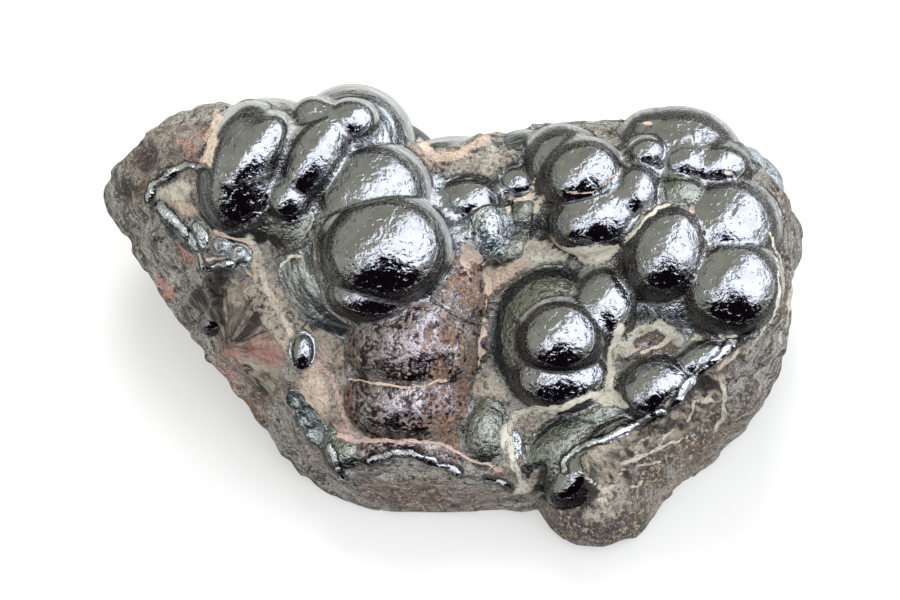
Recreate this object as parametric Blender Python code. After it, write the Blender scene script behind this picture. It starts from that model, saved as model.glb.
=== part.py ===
"""Botryoidal hematite specimen ("kidney ore"): one broken lump of ore with a face of bulging domes.

The stone rests on a flat broken base, +Z up, with its origin on the base under the middle of its box.
It is laid out in the frame of its domed face, which leans back from level: across runs to the right,
up runs up the face and out stands square to it, towards a person who looks straight at the domes.
"""

from collections import namedtuple
from math import cos, radians, sin

import bmesh
import bpy
from mathutils import Matrix, Vector

MM = 0.001

# Driving dimensions. The tables below draw the stone a little over its real length, in millimetres.
STONE_LENGTH = 70.0
DRAWN_LENGTH = 72.2
SCALE = MM * STONE_LENGTH / DRAWN_LENGTH
FACE_LEAN = radians(30.0)
FACE_PLACE = (-0.1, -3.87, 15.0)

ORE_COLOUR = (0.075, 0.076, 0.078, 1.0)
ORE_METALLIC = 0.9
ORE_ROUGHNESS = 0.28

# A dome is an ellipsoid. Its crest is how far its top stands out of the floor of the face,
# wide, tall and deep are its half sizes, and turn is its tilt in the face, in degrees.
Dome = namedtuple("Dome", "across up crest wide tall deep turn", defaults=[0.0])

# The high group on the left: two tall shoulders, the great dome and the skirt that it sits on.
LEFT_DOMES = (
    Dome(-20.8, 14.8, 6.4, 4.4, 6.7, 5.4, -15.0),
    Dome(-20.4, 11.4, 3.8, 5.2, 4.4, 5.0),
    Dome(-13.8, 15.9, 6.4, 3.4, 5.4, 4.8, -20.0),
    Dome(-16.4, 11.8, 5.2, 2.4, 2.6, 2.8),
    Dome(-15.6, 9.4, 3.6, 3.4, 3.2, 3.4),
    Dome(-8.2, 11.9, 6.2, 6.2, 5.8, 6.2),
    Dome(-6.8, 6.6, 8.8, 6.7, 6.0, 6.2),
    Dome(-7.6, 4.6, 6.2, 6.2, 5.9, 5.8),
    Dome(-9.2, 6.2, 4.2, 9.8, 10.0, 7.4),
    Dome(-10.2, 17.3, 3.4, 6.3, 6.1, 6.6),
    Dome(-10.2, 19.4, 4.8, 2.6, 2.2, 2.4),
    Dome(-13.9, 20.0, 4.2, 2.2, 1.9, 2.6),
    Dome(-18.6, 18.7, 2.8, 5.6, 3.2, 4.4),
)

# Small beads, ribs and slivers of ore along the broken left edge.
EDGE_BEADS = (
    Dome(-24.9, 8.2, 0.1, 1.3, 2.0, 1.8, 25.0),
    Dome(-23.1, 7.0, 0.7, 1.2, 1.2, 1.6),
    Dome(-21.4, 6.2, 1.0, 1.3, 1.2, 1.6),
    Dome(-27.0, 8.2, -1.4, 3.9, 1.0, 2.0, -50.0),
    Dome(-29.9, 13.1, -3.2, 1.6, 0.8, 1.6, 55.0),
    Dome(-27.4, 14.5, -1.1, 2.4, 0.8, 1.6, 10.0),
    Dome(-21.6, 1.4, -0.9, 3.6, 1.2, 2.2, 24.0),
    Dome(-20.6, -4.4, -2.0, 3.4, 1.3, 2.2, -28.0),
    Dome(-24.5, -0.6, -3.0, 1.2, 1.2, 1.6),
    Dome(-15.1, -3.4, 1.3, 1.3, 2.0, 1.8),
    Dome(-16.4, -8.6, -0.2, 1.2, 1.2, 1.6),
    Dome(-15.2, -10.4, 0.1, 1.5, 1.5, 1.8),
    Dome(-14.1, -12.2, -0.2, 1.2, 1.7, 1.8),
    Dome(-12.1, -13.2, 0.3, 1.2, 2.4, 1.8),
)

# The stained double dome in the lower middle, with the ledge under it.
LOWER_DOMES = (
    Dome(-4.3, -5.0, 3.0, 7.9, 7.6, 6.5),
    Dome(-3.8, -2.4, 5.4, 7.2, 6.2, 6.4),
    Dome(-0.4, 2.0, 4.2, 4.3, 4.6, 4.8),
    Dome(-4.6, -8.4, 4.2, 6.3, 4.4, 4.8),
    Dome(3.0, -11.6, 2.0, 2.8, 4.0, 3.4),
    Dome(6.0, -13.0, 0.8, 1.5, 3.2, 2.2),
)
LEDGE_DOMES = (
    Dome(-4.3, -13.4, 1.8, 7.2, 3.0, 3.6),
    Dome(-10.6, -13.6, 1.0, 2.2, 2.6, 2.6),
    Dome(5.6, -16.8, -0.8, 2.4, 2.2, 3.4),
)

# The dome within a dome at the centre right.
CENTRE_DOMES = (
    Dome(9.8, -1.9, 4.4, 7.0, 7.5, 7.0),
    Dome(10.5, -2.1, 7.0, 4.5, 4.1, 4.4),
    Dome(10.6, -5.9, 5.0, 5.2, 3.7, 4.4),
    Dome(14.9, 1.2, 4.8, 3.7, 4.1, 4.2),
)

# Low domes in the saddle between the two high groups.
SADDLE_DOMES = (
    Dome(3.1, 8.4, 3.2, 2.4, 3.2, 3.2),
    Dome(1.4, 11.4, 2.4, 3.9, 2.8, 3.6),
    Dome(5.9, 6.7, 2.2, 2.6, 1.7, 2.4, 42.0),
    Dome(7.0, 10.3, 2.0, 1.7, 2.3, 2.3),
    Dome(6.4, 13.3, 1.4, 2.4, 2.0, 2.6),
    Dome(0.4, 15.9, -1.8, 5.4, 2.4, 4.4),
    Dome(7.0, 15.8, 0.2, 3.2, 3.0, 4.4),
    Dome(-2.2, 13.0, 0.9, 2.6, 2.6, 3.0),
)

# The high group on the right, with its two smooth domes in front.
RIGHT_DOMES = (
    Dome(10.8, 15.0, 3.4, 4.4, 4.4, 5.2),
    Dome(13.1, 13.6, 5.8, 4.6, 4.3, 4.8),
    Dome(13.3, 9.9, 5.6, 4.3, 3.9, 4.4),
    Dome(17.8, 11.9, 5.4, 3.0, 3.4, 3.8),
    Dome(22.6, 17.2, 2.8, 6.5, 4.1, 6.2),
    Dome(26.2, 14.9, 3.8, 3.6, 2.5, 3.4),
    Dome(19.2, 16.2, 4.0, 2.2, 1.8, 2.6),
    Dome(23.0, 15.2, 3.8, 2.5, 1.9, 2.8),
    Dome(26.9, 8.8, 5.6, 5.9, 5.5, 6.0),
    Dome(22.3, 12.0, 4.6, 3.6, 2.6, 4.8),
    Dome(31.0, 12.6, -0.2, 2.4, 3.4, 4.2),
    Dome(29.4, 15.2, 0.6, 2.2, 1.8, 3.4, -30.0),
    Dome(21.0, 6.3, 7.6, 4.3, 5.1, 5.0, -20.0),
    Dome(27.9, 2.9, 7.4, 5.2, 5.1, 5.4),
    Dome(22.2, 2.3, 4.0, 4.7, 4.1, 5.0),
    Dome(33.4, 6.6, -4.5, 2.8, 5.0, 5.2),
)

# The cut-off domes above the lower right break.
FRONT_DOMES = (
    Dome(19.8, -3.0, 2.2, 3.3, 2.2, 2.6),
    Dome(20.2, -7.2, 4.4, 4.3, 3.8, 4.2),
    Dome(25.0, -4.0, 3.4, 3.6, 2.1, 3.0, 25.0),
    Dome(15.0, -9.6, 1.8, 4.8, 2.0, 2.8, 20.0),
    Dome(11.6, -13.2, 2.4, 6.0, 3.7, 4.2, 28.0),
    Dome(14.2, -14.2, 3.6, 6.5, 3.1, 4.2, 43.0),
    Dome(6.4, -15.6, 0.2, 3.4, 3.0, 3.6),
)

# The blunt foot, and the ribs that the break left on the lower right wall.
FOOT_DOMES = (
    Dome(14.6, -18.0, 0.4, 6.1, 6.0, 6.2),
    Dome(19.2, -15.6, -1.6, 4.0, 3.4, 4.2, 30.0),
    Dome(25.6, -7.6, 0.9, 1.2, 2.6, 2.0, -42.0),
    Dome(28.6, -8.6, -2.2, 1.7, 3.2, 2.6, -38.0),
    Dome(23.4, -13.0, -2.2, 3.2, 1.6, 2.4, 40.0),
)

# Rounded lumps on the back, where the growth turns over the top edge.
BACK_DOMES = (
    Dome(-27.0, 14.6, -6.0, 5.2, 4.0, 6.0, 30.0),
    Dome(-17.6, 16.0, -5.0, 6.6, 5.9, 7.6),
    Dome(-7.2, 14.6, -5.0, 6.2, 5.8, 8.2),
    Dome(10.0, 13.0, -4.6, 6.4, 6.2, 8.0),
    Dome(20.4, 13.6, -5.0, 7.4, 6.0, 8.4),
    Dome(28.2, 8.8, -7.0, 5.6, 5.8, 8.0),
)

WHOLE_DOMES = (
    LEFT_DOMES
    + EDGE_BEADS
    + LOWER_DOMES
    + CENTRE_DOMES
    + SADDLE_DOMES
    + RIGHT_DOMES
    + FOOT_DOMES
    + BACK_DOMES
)

# Hollows where a piece of ore came away. The crest of a hollow is the top of the shape that is taken out.
PITS = (
    Dome(-22.2, 3.7, 1.6, 2.8, 1.5, 2.6, 24.0),
    Dome(27.2, -5.7, 2.0, 2.3, 1.1, 2.4, 40.0),
    Dome(-31.2, 15.4, -1.6, 2.2, 1.2, 2.2, 50.0),
)

# A block of massive ore is a box cut back by flat breaks. A break faces its bearing, in degrees
# round the face from across towards up, and its slope, in degrees from the face towards out.
# Its point is one that it runs through.
Break = namedtuple("Break", "bearing slope across up out")

LEFT_BLOCK = (
    Break(0.0, 90.0, -12.0, 0.0, 0.4),
    Break(0.0, 0.0, 8.0, 0.0, 0.0),
    # The broken slopes round the domed face.
    Break(196.0, 47.0, -25.2, 6.0, -0.6),
    Break(158.0, 52.0, -25.6, 15.0, 0.2),
    Break(124.0, 40.0, -24.0, 18.6, -0.6),
    Break(216.0, 46.0, -18.2, -3.0, -0.4),
    Break(236.0, 42.0, -14.4, -10.8, -0.6),
    Break(94.0, 30.0, -15.0, 20.4, -1.6),
    # The steep sides, which make the outline.
    Break(99.0, -22.0, -19.5, 21.7, -7.0),
    Break(113.0, -12.0, -26.0, 20.6, -7.0),
    Break(127.0, -6.0, -30.2, 18.6, -8.0),
    Break(144.0, -4.0, -33.6, 16.2, -8.0),
    Break(168.0, -4.0, -35.6, 13.4, -9.0),
    Break(192.0, -6.0, -35.8, 10.6, -9.0),
    Break(217.0, -10.0, -30.8, 4.2, -8.0),
    Break(219.0, -6.0, -23.2, -6.4, -8.0),
    Break(224.0, -8.0, -16.2, -14.8, -8.0),
    Break(254.0, -8.0, -9.0, -19.5, -6.0),
    Break(274.0, -8.0, 0.6, -19.9, -6.0),
    Break(50.0, -14.0, -7.6, 18.6, -5.0),
    Break(80.0, -18.0, 0.0, 17.4, -4.0),
    # The undercut foot.
    Break(186.0, -44.0, -33.4, 8.0, -17.0),
    Break(128.0, -38.0, -28.0, 15.0, -20.0),
    Break(94.0, -52.0, -14.0, 17.6, -20.0),
    Break(216.0, -40.0, -27.0, 0.0, -13.4),
)

RIGHT_BLOCK = (
    Break(0.0, 90.0, 18.0, 0.0, 0.3),
    Break(180.0, 0.0, -4.0, 0.0, 0.0),
    # The broken slopes round the domed face.
    Break(4.0, 40.0, 32.6, 2.0, 0.0),
    Break(-48.0, 38.0, 20.9, -10.2, 1.6),
    Break(-26.0, 52.0, 29.4, -3.2, 0.6),
    Break(268.0, 40.0, 6.0, -15.0, -0.4),
    Break(92.0, 34.0, 18.0, 17.6, -1.0),
    # The steep sides, which make the outline.
    Break(0.0, -4.0, 34.7, 2.0, -8.0),
    Break(-20.0, -6.0, 34.0, -4.2, -8.0),
    Break(-33.0, -4.0, 32.0, -8.8, -8.0),
    Break(-46.0, -6.0, 28.8, -13.4, -8.0),
    Break(-60.0, -6.0, 24.4, -17.2, -7.0),
    Break(-78.0, -8.0, 18.0, -19.6, -5.0),
    Break(44.0, -4.0, 32.4, 14.4, -7.0),
    Break(18.0, -8.0, 34.6, 9.0, -8.0),
    Break(88.0, -18.0, 20.0, 19.3, -5.0),
    Break(108.0, -12.0, 5.0, 17.8, -5.0),
    Break(264.0, -6.0, 8.0, -19.2, -4.0),
    # The undercut foot.
    Break(6.0, -36.0, 33.6, 4.0, -14.0),
    Break(-38.0, -32.0, 29.0, -10.0, -9.6),
    Break(84.0, -50.0, 20.0, 16.0, -19.0),
)

# Breaks that came after the lower domes had grown: each slices off all that stands past it, over its
# width.
Slice = namedtuple("Slice", "bearing slope across up out width")

LATE_BREAKS = (
    Slice(-48.0, 38.0, 20.9, -10.2, 1.9, 46.0),
    Slice(268.0, 40.0, -3.4, -14.5, 1.1, 25.0),
)

BLOCK_SIZE = 120.0
CUTTER_SIZE = 90.0
SMALL_DOME = 4.55
FINE_STEPS = 3
COARSE_STEPS = 2


def clear_scene():
    for thing in list(bpy.data.objects):
        bpy.data.objects.remove(thing)


def ore_material():
    """Steel-grey ore with a metallic shine."""
    material = bpy.data.materials.new("hematite_ore")
    material.use_nodes = True
    shader = material.node_tree.nodes["Principled BSDF"]
    shader.inputs["Base Color"].default_value = ORE_COLOUR
    shader.inputs["Metallic"].default_value = ORE_METALLIC
    shader.inputs["Roughness"].default_value = ORE_ROUGHNESS
    return material


def face_frame():
    """The empty that carries everything laid out on the leaning face."""
    frame = bpy.data.objects.new("face_frame", None)
    frame.location = Vector(FACE_PLACE) * SCALE
    frame.rotation_euler = (FACE_LEAN, 0.0, 0.0)
    bpy.context.scene.collection.objects.link(frame)
    return frame


def direction(bearing, slope):
    """The unit normal of a break."""
    flat = cos(radians(slope))
    return Vector((flat * cos(radians(bearing)), flat * sin(radians(bearing)), sin(radians(slope))))


def object_of(name, shape, collection, frame):
    """A bmesh made an object of a collection, carried by the face frame."""
    mesh = bpy.data.meshes.new(name)
    bmesh.ops.recalc_face_normals(shape, faces=shape.faces[:])
    shape.to_mesh(mesh)
    shape.free()
    made = bpy.data.objects.new(name, mesh)
    made.parent = frame
    collection.objects.link(made)
    return made


def as_helper(thing):
    """A shape that only a Boolean uses."""
    thing.hide_render = True
    thing.display_type = "WIRE"
    return thing


def dome_shape(dome):
    """An ico sphere stretched to the dome's half sizes, turned and set at its crest."""
    steps = COARSE_STEPS if max(dome.wide, dome.tall) < SMALL_DOME else FINE_STEPS
    place = Matrix.Translation(Vector((dome.across, dome.up, dome.crest - dome.deep)) * SCALE)
    turn = Matrix.Rotation(radians(dome.turn), 4, "Z")
    stretch = Matrix.Diagonal((dome.wide * SCALE, dome.tall * SCALE, dome.deep * SCALE, 1.0))
    shape = bmesh.new()
    bmesh.ops.create_icosphere(shape, subdivisions=steps, radius=1.0, matrix=place @ turn @ stretch)
    return shape


def block_shape(breaks):
    """A large cube sliced by each break in turn, and closed again at every slice."""
    shape = bmesh.new()
    bmesh.ops.create_cube(shape, size=BLOCK_SIZE * SCALE)
    for cut in breaks:
        everything = shape.verts[:] + shape.edges[:] + shape.faces[:]
        sliced = bmesh.ops.bisect_plane(
            shape,
            geom=everything,
            plane_co=Vector((cut.across, cut.up, cut.out)) * SCALE,
            plane_no=direction(cut.bearing, cut.slope),
            clear_outer=True,
        )
        rim = [part for part in sliced["geom_cut"] if isinstance(part, bmesh.types.BMEdge)]
        bmesh.ops.contextual_create(shape, geom=rim)
    return shape


def slice_shape(cut):
    """A box whose inner face is the late break, as wide as the break."""
    outward = direction(cut.bearing, cut.slope)
    sideways = Vector((-sin(radians(cut.bearing)), cos(radians(cut.bearing)), 0.0))
    upright = outward.cross(sideways)
    turn = Matrix((sideways, upright, outward)).transposed().to_4x4()
    size = Matrix.Diagonal((cut.width * SCALE, CUTTER_SIZE * SCALE, CUTTER_SIZE * SCALE, 1.0))
    middle = Vector((cut.across, cut.up, cut.out)) + outward * CUTTER_SIZE / 2
    shape = bmesh.new()
    bmesh.ops.create_cube(shape, size=1.0, matrix=Matrix.Translation(middle * SCALE) @ turn @ size)
    return shape


def add_boolean(thing, name, operation, collection):
    """A Boolean of every shape in a collection."""
    modifier = thing.modifiers.new(name, "BOOLEAN")
    modifier.operation = operation
    modifier.operand_type = "COLLECTION"
    modifier.collection = collection
    modifier.solver = "EXACT"


def new_collection(name):
    collection = bpy.data.collections.new(name)
    bpy.context.scene.collection.children.link(collection)
    return collection


def build_specimen():
    """Both blocks of ore with the domes that were broken, the late breaks, then the unbroken domes and the base."""
    frame = face_frame()
    broken = new_collection("broken_growths")
    breaks = new_collection("late_breaks")
    whole = new_collection("whole_growths")
    hollows = new_collection("pits_and_base")

    specimen = object_of("hematite_specimen", block_shape(LEFT_BLOCK), bpy.context.scene.collection, frame)
    as_helper(object_of("right_block", block_shape(RIGHT_BLOCK), broken, frame))
    for dome in FRONT_DOMES + LEDGE_DOMES:
        as_helper(object_of("dome", dome_shape(dome), broken, frame))
    for cut in LATE_BREAKS:
        as_helper(object_of("late_break", slice_shape(cut), breaks, frame))
    for dome in WHOLE_DOMES:
        as_helper(object_of("dome", dome_shape(dome), whole, frame))
    for pit in PITS:
        as_helper(object_of("pit", dome_shape(pit), hollows, frame))

    ground = bmesh.new()
    below = Matrix.Translation((0.0, 0.0, -BLOCK_SIZE * SCALE / 2))
    bmesh.ops.create_cube(ground, size=BLOCK_SIZE * SCALE, matrix=below)
    as_helper(object_of("ground", ground, hollows, None))

    add_boolean(specimen, "join_broken_growths", "UNION", broken)
    add_boolean(specimen, "break_off", "DIFFERENCE", breaks)
    add_boolean(specimen, "join_whole_growths", "UNION", whole)
    add_boolean(specimen, "pit_and_cut_the_base", "DIFFERENCE", hollows)
    specimen.modifiers.new("facets", "TRIANGULATE")
    specimen.data.materials.append(ore_material())
    return specimen


def main():
    clear_scene()
    build_specimen()


main()
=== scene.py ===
"""The looks of a botryoidal hematite specimen ("kidney ore") lying on a white card.

The stone is one piece. Six square grids, joined like the sides of a cube, are wrapped round it and drawn in
until every point lies on the stone's own formula: blocks of massive ore cut by flat breaks, with a crowd of
domes grown out of them. Lengths in the tables are drawn millimetres, in the frame of the leaning domed face:
across runs right, up runs up the face and out stands square to it.
"""

from collections import namedtuple
from math import cos, radians, sin

import bpy
import numpy as np
from mathutils import Matrix, Vector


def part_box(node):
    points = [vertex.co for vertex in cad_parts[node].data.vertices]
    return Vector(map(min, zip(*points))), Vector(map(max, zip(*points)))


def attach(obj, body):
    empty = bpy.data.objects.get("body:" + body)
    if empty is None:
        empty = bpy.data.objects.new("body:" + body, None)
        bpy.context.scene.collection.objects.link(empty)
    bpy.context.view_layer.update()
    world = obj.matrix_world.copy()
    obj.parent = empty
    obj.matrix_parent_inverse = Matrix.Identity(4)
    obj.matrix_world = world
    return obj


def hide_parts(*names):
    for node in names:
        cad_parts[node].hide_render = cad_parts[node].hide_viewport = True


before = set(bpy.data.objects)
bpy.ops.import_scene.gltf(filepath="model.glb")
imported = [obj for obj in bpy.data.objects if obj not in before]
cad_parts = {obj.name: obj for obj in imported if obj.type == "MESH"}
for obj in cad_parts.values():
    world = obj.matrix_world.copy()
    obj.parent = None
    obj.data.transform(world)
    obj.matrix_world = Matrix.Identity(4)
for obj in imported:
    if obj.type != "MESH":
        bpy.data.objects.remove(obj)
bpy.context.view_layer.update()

NODE = "hematite_specimen"

# The tables draw the stone a little over its real length, and the frame says how long it is.
DRAWN_LENGTH = 72.2
FACE_LEAN = radians(30.0)
FACE_PLACE = np.array((-0.1, -3.87, 15.0))
low_corner, high_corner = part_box(NODE)
SCALE = (high_corner[0] - low_corner[0]) / DRAWN_LENGTH

# The face frame's own axes, in the world: rows are across, up and out.
FACE_AXES = np.array(
    (
        (1.0, 0.0, 0.0),
        (0.0, cos(FACE_LEAN), sin(FACE_LEAN)),
        (0.0, -sin(FACE_LEAN), cos(FACE_LEAN)),
    )
)

# The camera looks straight down on the domed face, from where the photograph was taken.
LENS_MM = 140.0
SENSOR_MM = 36.0
CAMERA_DISTANCE = 350.0
AIM_ACROSS = -0.4
AIM_UP = 1.6

# How a dome's surface has lasted: mirror bright, satin with growth rings, dark slate grey with fine specks,
# dusted with red ochre, crinkled so that it sparkles, or worn down to dull rock.
BRIGHT, SATIN, SLATE, DUSTY, GRAINY, ROCK = range(6)

# A dome is an ellipsoid. Its crest is how far its top stands out of the floor of the face, wide, tall and
# deep are its half sizes, and turn is its tilt in the face, in degrees. Its fillet is how softly it runs
# into what it grew on.
Dome = namedtuple("Dome", "across up crest wide tall deep turn finish fillet", defaults=[0.0, BRIGHT, 0.35])

# The high group on the left: two tall shoulders, the great dome and the skirt that it sits on.
LEFT_DOMES = (
    Dome(-20.8, 14.8, 6.0, 4.4, 6.7, 5.2, -15.0),
    Dome(-20.0, 15.9, 6.8, 2.9, 5.2, 4.2, -40.0, BRIGHT, 0.8),
    Dome(-20.4, 11.4, 3.8, 5.2, 4.4, 5.0, 0.0, SLATE, 0.8),
    Dome(-13.8, 15.8, 6.4, 3.3, 5.3, 4.8, -32.0),
    Dome(-16.4, 11.8, 5.2, 2.4, 2.6, 2.8, 0.0, BRIGHT, 0.5),
    Dome(-15.6, 9.4, 3.6, 3.4, 3.2, 3.4, 0.0, SLATE, 0.8),
    Dome(-8.2, 11.9, 6.2, 6.2, 5.8, 6.2),
    Dome(-6.8, 6.6, 8.8, 6.7, 6.0, 6.2),
    Dome(-7.6, 4.6, 6.2, 6.2, 5.9, 5.8, 0.0, BRIGHT, 0.3),
    Dome(-8.4, 2.0, 6.2, 4.4, 2.7, 3.6, -8.0, BRIGHT, 0.3),
    Dome(-9.2, 6.2, 4.2, 9.8, 10.0, 7.4, 0.0, SATIN, 1.2),
    Dome(-10.2, 17.3, 3.4, 6.3, 6.1, 6.6, 0.0, SATIN),
    Dome(-10.2, 19.4, 4.8, 2.6, 2.2, 2.4, 0.0, BRIGHT, 0.7),
    Dome(-13.9, 20.0, 4.2, 2.2, 1.9, 2.6, 0.0, BRIGHT, 0.7),
    Dome(-18.6, 18.7, 2.8, 5.6, 3.2, 4.4, 0.0, SATIN, 0.8),
)

# Small beads, ribs and slivers of ore along the broken left edge.
EDGE_BEADS = (
    Dome(-24.9, 8.2, 0.2, 1.3, 2.0, 1.8, 25.0, GRAINY),
    Dome(-23.1, 7.0, 0.8, 1.2, 1.2, 1.6, 0.0, SATIN),
    Dome(-21.4, 6.2, 1.1, 1.3, 1.2, 1.6, 0.0, SATIN),
    Dome(-27.0, 8.2, -1.1, 4.1, 0.9, 2.0, -50.0, GRAINY),
    Dome(-29.9, 13.1, -3.2, 1.6, 0.8, 1.6, 55.0),
    Dome(-27.4, 14.5, -1.1, 2.4, 0.8, 1.6, 10.0),
    Dome(-21.6, 1.4, -0.9, 3.6, 1.2, 2.2, 24.0, ROCK, 0.8),
    Dome(-20.6, -4.4, -2.0, 3.4, 1.3, 2.2, -28.0, ROCK, 0.8),
    Dome(-24.5, -0.6, -3.0, 1.2, 1.2, 1.6),
    Dome(-15.1, -3.4, 1.3, 1.3, 2.0, 1.8),
    Dome(-16.2, -8.6, 1.3, 1.2, 1.2, 1.8, 0.0, GRAINY),
    Dome(-15.2, -10.3, 1.5, 1.5, 1.5, 2.0, 0.0, GRAINY),
    Dome(-14.0, -12.0, 1.2, 1.2, 1.7, 2.0, 0.0, GRAINY),
    Dome(-12.1, -13.2, 0.3, 1.2, 2.4, 1.8, 0.0, SLATE),
)

# The stained double dome in the lower middle, with the ledge under it.
LOWER_DOMES = (
    Dome(-4.3, -5.0, 3.0, 7.9, 7.6, 6.5, 0.0, DUSTY, 0.6),
    Dome(-3.8, -2.4, 5.4, 7.2, 6.2, 6.4, 0.0, DUSTY, 0.3),
    Dome(-0.4, 2.0, 4.2, 4.3, 4.6, 4.8, 0.0, DUSTY, 1.0),
    Dome(-4.6, -8.4, 4.2, 6.3, 4.4, 4.8, 0.0, DUSTY, 0.3),
    Dome(3.0, -11.6, 2.0, 2.8, 4.0, 3.4, 0.0, SLATE, 0.5),
    Dome(6.0, -13.0, 0.8, 1.5, 3.2, 2.2, 0.0, GRAINY, 0.8),
)
LEDGE_DOMES = (
    Dome(-4.3, -13.4, 1.8, 7.2, 3.0, 3.6, 0.0, DUSTY, 0.6),
    Dome(-10.6, -13.6, 1.0, 2.2, 2.6, 2.6, 0.0, SLATE, 0.6),
    Dome(5.6, -16.8, -0.8, 2.4, 2.2, 3.4, 0.0, ROCK, 0.6),
)

# The dome within a dome at the centre right.
CENTRE_DOMES = (
    Dome(9.8, -1.9, 4.4, 7.0, 7.5, 7.0, 0.0, SLATE, 0.6),
    Dome(10.5, -2.1, 7.0, 4.5, 4.1, 4.4, 0.0, BRIGHT, 0.2),
    Dome(10.6, -5.9, 5.0, 5.2, 3.7, 4.4, 0.0, BRIGHT, 0.3),
    Dome(14.9, 1.2, 4.8, 3.7, 4.1, 4.2, 0.0, BRIGHT, 0.8),
)

# Low domes in the saddle between the two high groups.
SADDLE_DOMES = (
    Dome(3.1, 8.4, 3.2, 2.4, 3.2, 3.2, 0.0, GRAINY),
    Dome(1.4, 11.4, 2.4, 3.9, 2.8, 3.6),
    Dome(5.9, 6.7, 2.2, 2.6, 1.7, 2.4, 42.0, SLATE),
    Dome(7.0, 10.3, 2.0, 1.7, 2.3, 2.3, 0.0, SLATE),
    Dome(6.4, 13.3, 1.4, 2.4, 2.0, 2.6),
    Dome(0.4, 15.9, -1.8, 5.4, 2.4, 4.4, 0.0, SATIN, 1.0),
    Dome(7.0, 15.8, 0.2, 3.2, 3.0, 4.4, 0.0, SATIN, 0.5),
    Dome(-2.2, 13.0, 0.9, 2.6, 2.6, 3.0, 0.0, GRAINY, 0.6),
)

# The high group on the right, with its two smooth domes in front.
RIGHT_DOMES = (
    Dome(10.8, 15.0, 3.4, 4.4, 4.4, 5.2, 0.0, BRIGHT, 0.4),
    Dome(12.8, 13.9, 5.8, 4.5, 4.1, 4.8, 12.0),
    Dome(14.2, 9.8, 5.6, 5.1, 3.8, 4.4, 14.0),
    Dome(18.0, 12.2, 5.4, 2.8, 3.2, 3.8, 0.0, BRIGHT, 0.6),
    Dome(22.6, 14.8, 3.2, 6.9, 6.4, 6.2, 0.0, BRIGHT, 0.5),
    Dome(26.2, 14.9, 3.8, 3.6, 2.5, 3.4, 0.0, BRIGHT, 0.6),
    Dome(19.2, 16.2, 4.0, 2.2, 1.8, 2.6, 0.0, BRIGHT, 0.6),
    Dome(23.0, 15.2, 3.8, 2.5, 1.9, 2.8, 0.0, BRIGHT, 0.6),
    Dome(26.9, 8.8, 5.6, 5.9, 5.5, 6.0),
    Dome(22.3, 12.0, 4.6, 3.6, 2.6, 4.8, 0.0, SLATE, 0.6),
    Dome(31.0, 12.6, -0.2, 2.4, 3.4, 4.2, 0.0, GRAINY, 0.5),
    Dome(29.4, 15.2, 0.6, 2.2, 1.8, 3.4, -30.0, GRAINY, 0.5),
    Dome(21.0, 6.3, 7.6, 4.3, 5.1, 5.0, -20.0, BRIGHT, 0.25),
    Dome(27.5, 3.0, 7.4, 5.4, 5.1, 5.4, 0.0, BRIGHT, 0.25),
    Dome(22.2, 2.3, 4.0, 4.7, 4.1, 5.0, 0.0, GRAINY, 0.6),
    Dome(32.9, 7.5, -4.5, 2.6, 3.9, 5.2, 0.0, ROCK, 0.8),
    Dome(19.8, 17.4, 1.4, 3.4, 3.5, 4.4, 0.0, BRIGHT, 0.6),
)

# The cut-off domes above the lower right break.
FRONT_DOMES = (
    Dome(19.8, -3.0, 2.2, 3.3, 2.2, 2.6, 0.0, DUSTY, 0.6),
    Dome(20.2, -7.2, 4.4, 4.3, 3.8, 4.2),
    Dome(25.0, -4.0, 3.4, 3.6, 2.1, 3.0, 25.0, BRIGHT, 0.5),
    Dome(15.0, -9.6, 1.8, 4.8, 2.0, 2.8, 20.0, SLATE, 0.6),
    Dome(11.6, -13.2, 2.4, 6.0, 3.7, 4.2, 28.0, SLATE, 0.5),
    Dome(14.2, -14.2, 3.6, 6.5, 3.1, 4.2, 43.0, BRIGHT, 0.4),
    Dome(6.4, -15.6, 0.2, 3.4, 3.0, 3.6, 0.0, ROCK, 0.8),
)

# The blunt foot, and the ribs that the break left on the lower right wall.
FOOT_DOMES = (
    Dome(14.6, -18.0, 0.4, 6.1, 6.0, 6.2, 0.0, ROCK, 0.8),
    Dome(19.2, -15.6, -1.6, 4.0, 3.4, 4.2, 30.0, ROCK, 1.0),
    Dome(25.6, -7.6, 0.9, 1.2, 2.6, 2.0, -42.0, ROCK, 0.8),
    Dome(28.6, -8.6, -2.2, 1.7, 3.2, 2.6, -38.0, ROCK, 1.0),
    Dome(23.4, -13.0, -2.2, 3.2, 1.6, 2.4, 40.0, ROCK, 1.0),
)

# Rounded lumps on the back, where the growth turns over the top edge.
BACK_DOMES = (
    Dome(-27.0, 14.6, -6.0, 5.2, 4.0, 6.0, 30.0, ROCK, 1.2),
    Dome(-17.6, 16.0, -5.0, 6.6, 5.9, 7.6, 0.0, SLATE, 0.8),
    Dome(-7.2, 14.6, -5.0, 6.2, 5.8, 8.2, 0.0, SLATE, 0.8),
    Dome(10.0, 13.0, -4.6, 6.4, 6.2, 8.0, 0.0, SLATE, 0.8),
    Dome(20.4, 13.6, -5.0, 7.4, 6.0, 8.4, 0.0, SLATE, 0.8),
    Dome(28.2, 8.8, -7.0, 5.6, 5.8, 8.0, 0.0, ROCK, 1.2),
)
BROKEN_DOMES = FRONT_DOMES + LEDGE_DOMES
WHOLE_DOMES = (
    LEFT_DOMES
    + EDGE_BEADS
    + LOWER_DOMES
    + CENTRE_DOMES
    + SADDLE_DOMES
    + RIGHT_DOMES
    + FOOT_DOMES
    + BACK_DOMES
)

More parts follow.
